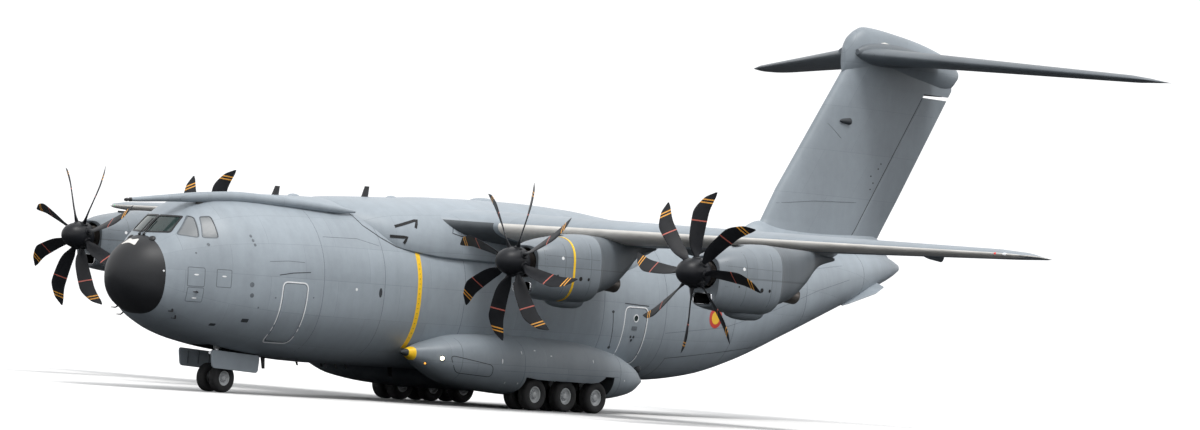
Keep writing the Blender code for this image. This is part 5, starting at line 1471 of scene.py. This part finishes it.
# ------------------------------------------------------------ marks, lamps and small fittings
def build_marks():
    m = Mesh()  # 0 white, 1 dark, 2 soft, 3 yellow, 4 red, 5 disc yellow
    looks = [white, line_dark, line_soft, yellow, red, disc_yellow, hollow_shade_black]
    side_at = lambda side: (lambda s, h: hull_side(s, h, side))

    def strip(points, width, mat, side=1, closed=False, step=0.12, place=None):
        place = place or side_at(side)
        ribbon(m, [place(*p) for p in subdivided(points, step, closed)], width, mat, closed, up=0.0014 if mat != 2 else 0.0009)

    # yellow bands beside the propellers
    for side in (1, -1):
        strip([(11.62, h) for h in np.linspace(5.06, 1.84, 50)], 0.21, 3, side)
        for h in np.linspace(2.2, 4.7, 16):
            patch(m, oval((11.62, h), 0.022, 0.014, 8), side_at(side), (1,), rings=1, up=0.0022)
    # paratroop door rims and windows on both sides
    s, h = PARA_DOOR_S, PARA_DOOR_H
    for side in (1, -1):
        outline = rounded(grown([(s[0], h[0]), (s[1], h[0]), (s[1], h[1]), (s[0], h[1])], 0.035), 0.24, 8)
        strip(outline, 0.045, 0, side, closed=True, step=0.2)
        strip([(s[0] - 0.10, h[1] + 0.14), (s[1] + 0.06, h[1] + 0.10)], 0.035, 1, side)
        strip([(21.70, 3.58), (21.90, 2.32)], 0.028, 1, side)
        for at in ((21.70, 3.58), (21.90, 2.32)):
            patch(m, oval(at, 0.07, 0.05, 14), side_at(side), (1,), rings=1, up=0.0022)
        ribbon(m, [hull_side(a, b, side) for a, b in oval((22.98, 3.40), 0.125, 0.125, 28)], 0.03, 0, True, up=0.0016)
        for a, b in ((22.86, 2.74), (23.02, 2.74), (22.94, 2.62)):
            patch(m, oval((a, b), 0.045, 0.05, 12), side_at(side), (1,), rings=1, up=0.0018)
        patch(m, rounded([(22.82, 2.98), (23.10, 2.98), (23.10, 3.12), (22.82, 3.12)], 0.03), side_at(side), (2,), up=0.0016)
        # plain discs of the tail
        patch(m, oval((27.42, 3.62), 0.37, 0.37, 48), side_at(side), (5, 5, 4, 4), stops=[0, 0.33, 0.62, 0.8, 1.0], up=0.0016)
    # crew door rim
    s, h = CREW_DOOR_S, CREW_DOOR_H
    outline = rounded(grown([(s[0], h[0]), (s[1], h[0]), (s[1], h[1]), (s[0], h[1])], 0.035), 0.22, 8)
    strip(outline, 0.042, 0, 1, closed=True, step=0.2)
    strip([(5.00, 3.98), (5.6, 4.08), (6.37, 4.14)], 0.028, 1)
    strip([(4.60, 4.40), (5.4, 4.46), (6.12, 4.45)], 0.016, 2)
    # service plates of the nose
    for side in (1, -1):
        for s0, s1, h0, h1 in ((1.74, 2.26, 3.42, 4.03), (1.76, 2.26, 2.92, 3.38), (2.64, 3.14, 3.45, 4.02)):
            outline = rounded([(s0, h0), (s1, h0), (s1, h1), (s0, h1)], 0.05, 4)
            strip(outline, 0.022, 2, side, closed=True)
            for a, b in ((0.3, 0.72), (0.7, 0.72)) if h1 - h0 > 0.5 else ((0.5, 0.3),):
                patch(m, oval((s0 + (s1 - s0) * 0.5, h0 + (h1 - h0) * b * 0.86), 0.075, 0.026, 12), side_at(side), (0,), rings=1, up=0.0016)
        patch(m, oval((1.08, 3.85), 0.035, 0.028, 12), side_at(side), (0,), rings=1, up=0.002)
        for a, b, r in ((3.92, 3.60, 0.085), (3.96, 3.25, 0.075), (4.02, 5.18, 0.05), (4.06, 5.04, 0.05), (4.10, 4.90, 0.05), (4.92, 3.23, 0.028), (6.58, 3.32, 0.028), (4.30, 2.87, 0.03), (2.45, 4.80, 0.05), (2.03, 4.50, 0.03)):
            patch(m, oval((a, b), r, r, 12), side_at(side), (2,), rings=1, up=0.0016)
        patch(m, rounded([(3.84, 2.36), (4.10, 2.36), (4.10, 2.48), (3.84, 2.48)], 0.03), side_at(side), (1,), up=0.0018)
        patch(m, rounded([(2.85, 2.18), (3.05, 2.18), (3.05, 2.26), (2.85, 2.26)], 0.03), side_at(side), (1,), up=0.0018)
        patch(m, oval((8.54, 3.69), 0.05, 0.05, 16), side_at(side), (0,), rings=1, up=0.0022)
        patch(m, oval((9.71, 3.64), 0.075, 0.16, 20), side_at(side), (1,), rings=2, up=0.0020)
        # escape hatch lines and skin joints drawn round the hull
        for station in (7.0, 9.9, 13.9, 21.2, 24.6, 28.6, 33.2, 37.6):
            strip([(station, hh) for hh in np.linspace(fuselage_at(station)[1] - 0.25, max(fuselage_at(station)[2] + 0.25, 1.5), 40)], 0.014, 2, side)
        strip([(7.2, 5.35), (8.8, 5.38), (9.8, 5.20)], 0.014, 2, side)
        strip([(24.7, 2.95), (28.0, 3.30), (31.0, 4.05), (34.0, 4.9), (36.4, 5.4)], 0.014, 2, side, step=0.3)
        strip([(25.0, 5.05), (30.0, 5.3), (36.0, 5.9)], 0.012, 2, side, step=0.3)
        # rudder-line marks and the scoop seat on the fin
        place = lambda a, b: fin_side(a, b, side)
        for a, b in ((39.05, 8.9), (39.20, 9.15), (39.0, 9.4), (39.45, 9.7), (39.6, 9.9)):
            patch(m, oval((a, b), 0.045, 0.03, 10), place, (1,), rings=1, up=0.003)
        line = []
        for b in np.linspace(7.12, 12.56, 24):
            s0, chord, ratio = linear(FIN, b)
            line.append((s0 + chord * (RUDDER_HINGE - 0.72 * thickness(RUDDER_HINGE) * ratio * 2), b))
        ribbon(m, [place(a, b) for a, b in line], 0.035, 1, False, up=0.0015)
        ribbon(m, [place(a, b) for a, b in subdivided([(33.6, 8.05), (35.5, 8.25), (38.2, 8.35)], 0.3, False)], 0.016, 2, False, up=0.003)
        ribbon(m, [place(a, b) for a, b in subdivided([(36.2, 11.2), (36.9, 10.7)], 0.2, False)], 0.016, 2, False, up=0.003)
        # sponson: access panel, drain marks and joint lines
        spon = lambda a, b: sponson_side(a, b, side)
        ring = rounded([(12.70, 1.72), (14.55, 1.46), (14.55, 1.06), (13.0, 1.14)], 0.22, 8)
        ribbon(m, [spon(a, b) for a, b in subdivided(ring, 0.15)], 0.026, 1, True, up=0.0014)
        ring = rounded([(15.0, 0.98), (20.6, 0.84), (20.6, 0.62), (15.2, 0.72)], 0.10, 6)
        for a, b, w, hh in ((14.95, 1.62, 0.025, 0.09), (15.9, 1.95, 0.02, 0.06), (16.6, 2.05, 0.05, 0.02), (17.4, 1.9, 0.05, 0.02), (19.6, 1.8, 0.02, 0.06),
                            (15.3, 0.9, 0.02, 0.03), (15.9, 0.9, 0.02, 0.03), (21.6, 1.2, 0.02, 0.03)):
            patch(m, oval((a, b), w, hh, 10), spon, (0,), rings=1, up=0.0020)
        for station in (13.2, 16.05, 21.3):
            hc, up_, down_ = hermite(SPONSON, station)[1], hermite(SPONSON, station)[3], hermite(SPONSON, station)[4]
            ribbon(m, [spon(station, b) for b in np.linspace(hc + up_ * 0.93, hc - down_ * 0.93, 26)], 0.014, 2, False, up=0.001)
        ribbon(m, [spon(a, 1.30 + 0.0 * a) for a in np.linspace(14.9, 21.2, 22)], 0.012, 2, False, up=0.001)
        line = ((9.10, 6.32), (9.25, 6.13), (9.42, 5.84), (10.02, 5.48), (10.66, 5.22), (11.45, 5.09), (12.76, 5.00), (14.06, 4.97), (16.0, 4.95))
        ribbon(m, [fairing_side(a, b, side) for a, b in subdivided(line, 0.15, False)], 0.040, 1, False, up=0.003, down=0.012)
        line = ((13.80, 6.46), (13.34, 6.07), (13.23, 5.83), (13.61, 5.75), (14.97, 5.73), (16.89, 5.80))
        ribbon(m, [fairing_side(a, b, side) for a, b in subdivided(line, 0.12, False)], 0.030, 1, False, up=0.003, down=0.012)
        # vents shaped like chevrons on the wing's forward fairing, in painted shade of an opening
    for side in (1, -1):
        for pts in (((1.97, 10.66, 5.90), (1.66, 11.74, 6.18), (1.97, 11.54, 5.90)), ((2.26, 10.42, 5.56), (2.26, 11.09, 5.56), (2.40, 10.94, 5.35))):
            rows = []
            line = subdivided([(a[1], a[2]) for a in pts], 0.12, False)
            ribbon(m, [fairing_side(a, b, side) for a, b in line], 0.10, 6, False, up=0.006, down=0.02)
    finish_piece(m.make("hull_marks", looks, smooth=40), smooth=40)

    # light plate and its two bumps above the radome, wipers
    m = Mesh()
    front = lambda l, h: nose_front(l, h)
    patch(m, rounded([(-0.30, 4.62), (0.32, 4.62), (0.22, 4.82), (-0.20, 4.82)], 0.03), front, (2,), up=0.003)
    for l in (-0.50, 0.50):
        p, n = nose_front(l, 4.86)
        c = (p.x / SCALE, p.y / SCALE + MID, p.z / SCALE)
        m.lathe([(-0.03, 0.13), (0.03, 0.115), (0.06, 0.065), (0.07, 0.004)], c, n, 20, mat=1)
    for side in (1, -1):
        pts = [nose_front(side * a, b, 0.0) for a, b in ((0.10, 4.98), (0.09, 5.12), (0.08, 5.30), (0.07, 5.50))]
        m.tube([((p + n * 0.022).x / SCALE, (p + n * 0.022).y / SCALE + MID, (p + n * 0.022).z / SCALE) for p, n in pts], 0.020, 10, mat=1)
        p, n = nose_front(side * 0.10, 4.98)
        m.lathe([(0.0, 0.05), (0.05, 0.045), (0.06, 0.01)], (p.x / SCALE, p.y / SCALE + MID, p.z / SCALE), n, 16, mat=1)
    finish_piece(m.make("windscreen_fittings", [pale_plate, black, edge_paint], smooth=50), smooth=50)

    # aerials, probes and drain masts
    m = Mesh()
    for l, s, height, chord in ((0.0, 7.2, 0.34, 0.34), (0.0, 11.55, 0.40, 0.34)):
        base = max(fuselage_at(s)[1], hermite(WING_FAIRING, s)[1]) - 0.04 if s > 8.6 else fuselage_at(s)[1] - 0.04
        rows = []
        for k in range(7):
            t = k / 6
            w = 0.055 * (1 - 0.3 * t)
            cc = chord * (1 - 0.35 * t) / 2
            rows.append([P(l + w * cos(q), s + 0.10 * t + cc * sin(q), base + height * t) for q in (2 * pi * j / 16 for j in range(16))])
        m.rows(rows)
    for l, s, height, chord in ((0.25, 6.9, 0.40, 0.22), (0.55, 9.6, 0.14, 0.12), (0.55, 10.1, 0.16, 0.12), (0.55, 10.6, 0.14, 0.12),
                                (-0.4, 9.2, 0.14, 0.12), (-0.4, 10.4, 0.14, 0.12), (0.0, 13.4, 0.34, 0.26), (0.7, 22.2, 0.18, 0.14)):
        base = fuselage_at(s)[2] + 0.05
        rows = []
        for k in range(6):
            t = k / 5
            w = 0.022
            cc = chord * (1 - 0.35 * t) / 2
            rows.append([P(l + w * cos(q), s + 0.07 * t + cc * sin(q), base - (height + 0.03) * t) for q in (2 * pi * j / 14 for j in range(14))])
        m.rows(rows)
    for side in (1, -1):
        for s, h in ((1.55, 2.62), (1.75, 2.42), (2.05, 3.25)):
            p, n = hull_side(s, h, side)
            q = p + n * 0.055
            r = q + Vector((0, -0.10, 0))
            m.tube([(a.x / SCALE, a.y / SCALE + MID, a.z / SCALE) for a in (p - n * 0.01, q, r)], [0.030, 0.024, 0.014], 12)
    finish_piece(m.make("aerials_and_probes", [black]))

    # low aerials and domes on the roof
    m = Mesh()
    for s, w, ln, tall in ((8.1, 0.12, 0.30, 0.07), (12.9, 0.12, 0.28, 0.06), (17.6, 0.30, 0.7, 0.10), (27.0, 0.26, 0.6, 0.12)):
        base = max(fuselage_at(s)[1], hermite(WING_FAIRING, s)[1] if 8.6 < s < 26 else 0)
        rows = []
        for k in range(13):
            t = k / 12
            r = sin(pi * t) ** 0.6 if 0 < t < 1 else 0.02
            rows.append([P(w * r * cos(q), s - ln + 2 * ln * t, base - 0.03 + (tall + 0.03) * r * sin(q)) for q in (pi * j / 12 for j in range(13))])
        m.rows(rows)
    finish_piece(m.make("roof_domes", [skin], smooth=60), smooth=60)

    m = Mesh()
    for side in (1, -1):
        p, n = hull_side(24.15, 1.62, side)
        c = (p.x / SCALE, p.y / SCALE + MID, p.z / SCALE)
        m.lathe([(-0.02, 0.17), (0.05, 0.165), (0.11, 0.13), (0.15, 0.07), (0.16, 0.004)], c, n, 28)
    finish_piece(m.make("sensor_domes", [line_dark], smooth=60), smooth=60)

    # sponson lamps
    for side, name in SIDE_NAMES:
        m = Mesh()
        for (s, h, r), mat in (((12.42, 1.60, 0.085), 0), ((11.92, 1.40, 0.045), 1)):
            p, n = sponson_side(s, h, side)
            n = (n + Vector((0, -0.8, 0))).normalized()
            c = (p.x / SCALE, p.y / SCALE + MID, p.z / SCALE)
            m.lathe([(-0.10, r * 1.1), (0.01, r * 1.15), (0.03, r * 1.05), (0.03, r * 0.98)], c, n, 24, mat=2)
            m.lathe([(-0.05, r * 0.98), (0.0, r), (0.03, r * 0.8), (0.045, r * 0.4), (0.05, 0.003)], c, n, 24, mat=mat)
        finish_piece(m.make(f"sponson_lamps_{name}", [lamp, amber, line_dark], smooth=50), smooth=50)

    # scoop on each side of the fin
    m = Mesh()
    for side in (1, -1):
        p, n = fin_side(37.1, 11.35, side)
        rows = []
        for t in np.linspace(0, 1, 9):
            r = 0.02 + 0.09 * sqrt(t)
            c = p + Vector((0, (-0.30 + 0.55 * t) * SCALE, 0))
            rows.append([c + Vector((side * r * 1.3 * SCALE * sin(q), 0, r * SCALE * cos(q) * 1.2)) for q in (pi * j / 10 for j in range(11))])
        m.rows(rows, mat=lambda i, j: 0)
    finish_piece(m.make("fin_scoops", [line_dark], smooth=50), smooth=50)


def fairing_side(s, h, side=1):
    """Point on the upper flank, on the hull or on the wing's fairing, whichever is outside."""
    def width(s, h):
        w, top, bottom, zc = fuselage_at(s)
        z = min(abs(h - zc) / (top - zc if h > zc else zc - bottom), 0.9999)
        e = 2.0 if h > zc else 2.6
        a = w * (1 - z**e) ** (1 / e)
        fw, ftop, base, power = hermite(WING_FAIRING, s)
        b = 0.0
        if 8.6 < s < 26.0 and base < h < ftop:
            b = fw * (1 - ((h - base) / (ftop - base)) ** power) ** (1 / power)
        return max(a, b)
    l = width(s, h)
    ds = (width(s + 0.03, h) - width(s - 0.03, h)) / 0.06
    dh = (width(s, h + 0.03) - width(s, h - 0.03)) / 0.06
    n = Vector((1.0, -ds, -dh)).normalized()
    n.x *= side
    return P(side * l, s, h), n


def nose_front(l, h, out=0.0):
    """Point on the front of the nose, found along a line from ahead."""
    def inside(s):
        w, top, bottom, zc = fuselage_at(s)
        z = h - zc
        b, e = (top - zc, 2.0) if z > 0 else (zc - bottom, 2.6)
        return (abs(l) / max(w, 1e-6)) ** e + (abs(z) / max(b, 1e-6)) ** e < 1
    low, high = 0.0, 6.0
    for _ in range(40):
        mid = (low + high) / 2
        if inside(mid):
            high = mid
        else:
            low = mid
    s = high

    def value(l, s, h):
        w, top, bottom, zc = fuselage_at(s)
        z = h - zc
        b, e = (top - zc, 2.0) if z > 0 else (zc - bottom, 2.6)
        return (abs(l) / w) ** e + (abs(z) / b) ** e
    d = 0.01
    n = Vector((value(l + d, s, h) - value(l - d, s, h), value(l, s + d, h) - value(l, s - d, h), value(l, s, h + d) - value(l, s, h - d))).normalized()
    return P(l, s, h) + n * out, n


# ------------------------------------------------------------ cabin and kept pieces
def dress(node, mat):
    obj = NODES[node]
    if not obj.data.materials:
        obj.data.materials.append(mat)
    for slot in obj.material_slots:
        slot.material = mat


def build_inside():
    dress("cockpit_floor", deck)
    dress("instrument_panel", panel_grey)
    dress("pilot_seats", fabric)
    for side, name in SIDE_NAMES:
        dress(f"main_gear_legs_{name}", gear_white)
    for engine in ENGINES:
        dress(f"engine_{engine[0]}", burnt)
    h = COCKPIT_FLOOR_H
    # screens and seat cushions
    m = Mesh()
    for l in (-0.78, -0.46, -0.14, 0.18, 0.50, 0.82):
        m.box((l - 0.14, l + 0.10), (2.36, 2.415), (h + 0.66, h + 0.92), mat=0)
    finish_piece(m.make("panel_screens", [screen_glass], smooth=0), smooth=0)
    m = Mesh()
    for c in (-0.62, 0.62):
        for a, b, w in ((2.99, h + 0.60, 0.21),):
            rows = []
            for t in np.linspace(0, 1, 9):
                k = 0.6 + 0.4 * sin(pi * t) ** 0.5
                rows.append([P(c + w * k * cos(q), 2.90 + 0.36 * t, b + 0.05 + 0.055 * k * sin(q)) for q in (2 * pi * j / 18 for j in range(18))])
            m.rows(rows)
        rows = []
        for t in np.linspace(0, 1, 11):
            k = 0.6 + 0.4 * sin(pi * t) ** 0.5
            rows.append([P(c + 0.22 * k * cos(q), 3.29 + 0.19 * t + 0.05 * k * sin(q), h + 0.66 + 0.62 * t) for q in (2 * pi * j / 18 for j in range(18))])
        m.rows(rows)
    finish_piece(m.make("seat_cushions", [fabric], smooth=60), smooth=60)
    # frames round the hold and a rail on each side of the floor
    m = Mesh()
    for s in spread(7.6, 24.0, 0.82) + spread(25.2, 29.4, 0.84):
        rows = []
        for k in range(41):
            t = radians(-18 + 216 * k / 40)
            w, top, bottom, zc = fuselage_at(s)
            c, z = cos(t), sin(t)
            e = 2.0 if z > 0 else 2.6
            b = (top - zc if z > 0 else zc - bottom)
            pts = []
            for inset in (WALL - 0.02, WALL + 0.055):
                r = ((abs(c) / (w - inset)) ** e + (abs(z) / (b - inset)) ** e) ** (-1 / e)
                pts.append((r * c, zc + r * z))
            (l0, h0), (l1, h1) = pts
            rows.append([P(l0, s, h0), P(l0, s + 0.05, h0), P(l1, s + 0.05, h1), P(l1, s, h1)])
        m.rows(rows)
    for side in (1, -1):
        for l in (0.55, 1.15):
            m.box(sorted((side * l - 0.05, side * l + 0.05)), (7.0, 24.55), (HOLD_FLOOR_H - 0.01, HOLD_FLOOR_H + 0.02), mat=0)
    finish_piece(m.make("hold_frames", [cabin], smooth=30), smooth=30)


# ------------------------------------------------------------ stage, light and camera
def build_stage():
    scene = bpy.context.scene
    m = Mesh()
    n, rings = 96, (0.01, 15.0, 40.0, 90.0, 200.0, 700.0)
    rows = [[Vector((r * cos(2 * pi * k / n), r * sin(2 * pi * k / n), -0.001)) for k in range(n)] for r in rings]
    m.rows(rows, caps=False)
    floor = plain("floor_pale", (0.78, 0.78, 0.78), 0.9, contrast=0.03, scale=0.3, bump=0, shine=0.0)
    tree = floor.node_tree
    shader = tree.nodes["Principled BSDF"]
    pale = shader.inputs["Base Color"].links[0].from_socket
    path = tree.nodes.new("ShaderNodeLightPath").outputs["Is Camera Ray"]
    link(tree, mixed(tree, path, (0.05, 0.052, 0.055), pale), shader.inputs["Base Color"])
    obj = m.make("floor", [floor], smooth=0)
    obj.data.flip_normals() if obj.data.polygons[0].normal.z < 0 else None

    world = bpy.data.worlds.new("studio")
    scene.world = world
    world.use_nodes = True
    back = world.node_tree.nodes["Background"]
    back.inputs[0].default_value = (0.985, 0.99, 1.0, 1.0)
    back.inputs[1].default_value = 1.15

    for name, energy, angle, way in (("key", 1.9, 22, (-0.50, -0.07, -1.0)), ("front", 0.10, 60, (-0.6, 0.7, -0.4))):
        light = bpy.data.lights.new(name, "SUN")
        light.energy, light.angle = energy, radians(angle)
        light.color = (1.0, 0.99, 0.97)
        obj = bpy.data.objects.new(name, light)
        obj.rotation_euler = Vector(way).to_track_quat("-Z", "Y").to_euler()
        scene.collection.objects.link(obj)

    a, e, r = (radians(v) for v in (40.6408, -1.1798, 3.9879))
    back = Vector((sin(a) * cos(e), -cos(a) * cos(e), sin(e)))
    f = -back
    right = f.cross(Vector((0, 0, 1))).normalized()
    up = right.cross(f)
    R = right * cos(r) + up * sin(r)
    U = -right * sin(r) + up * cos(r)
    data = bpy.data.cameras.new("camera")
    data.sensor_width, data.sensor_fit = 36.0, "HORIZONTAL"
    data.lens = 5368.8361 * 36.0 / 1200.0
    data.clip_start, data.clip_end = 0.5, 2000.0
    cam = bpy.data.objects.new("camera", data)
    scene.collection.objects.link(cam)
    where = P(124.64976, -121.36544, 3.05278)
    cam.matrix_world = Matrix(((R.x, U.x, -f.x, where.x), (R.y, U.y, -f.y, where.y), (R.z, U.z, -f.z, where.z), (0, 0, 0, 1)))
    scene.camera = cam
    scene.view_settings.view_transform = "Standard"
    scene.view_settings.look = "None"
    scene.view_settings.exposure = 0.0
    scene.view_settings.gamma = 1.0


build_fuselage()
build_wing()
build_tail()
build_nacelles()
build_propellers()
build_sponsons()
build_gear()
build_marks()
build_inside()
build_stage()
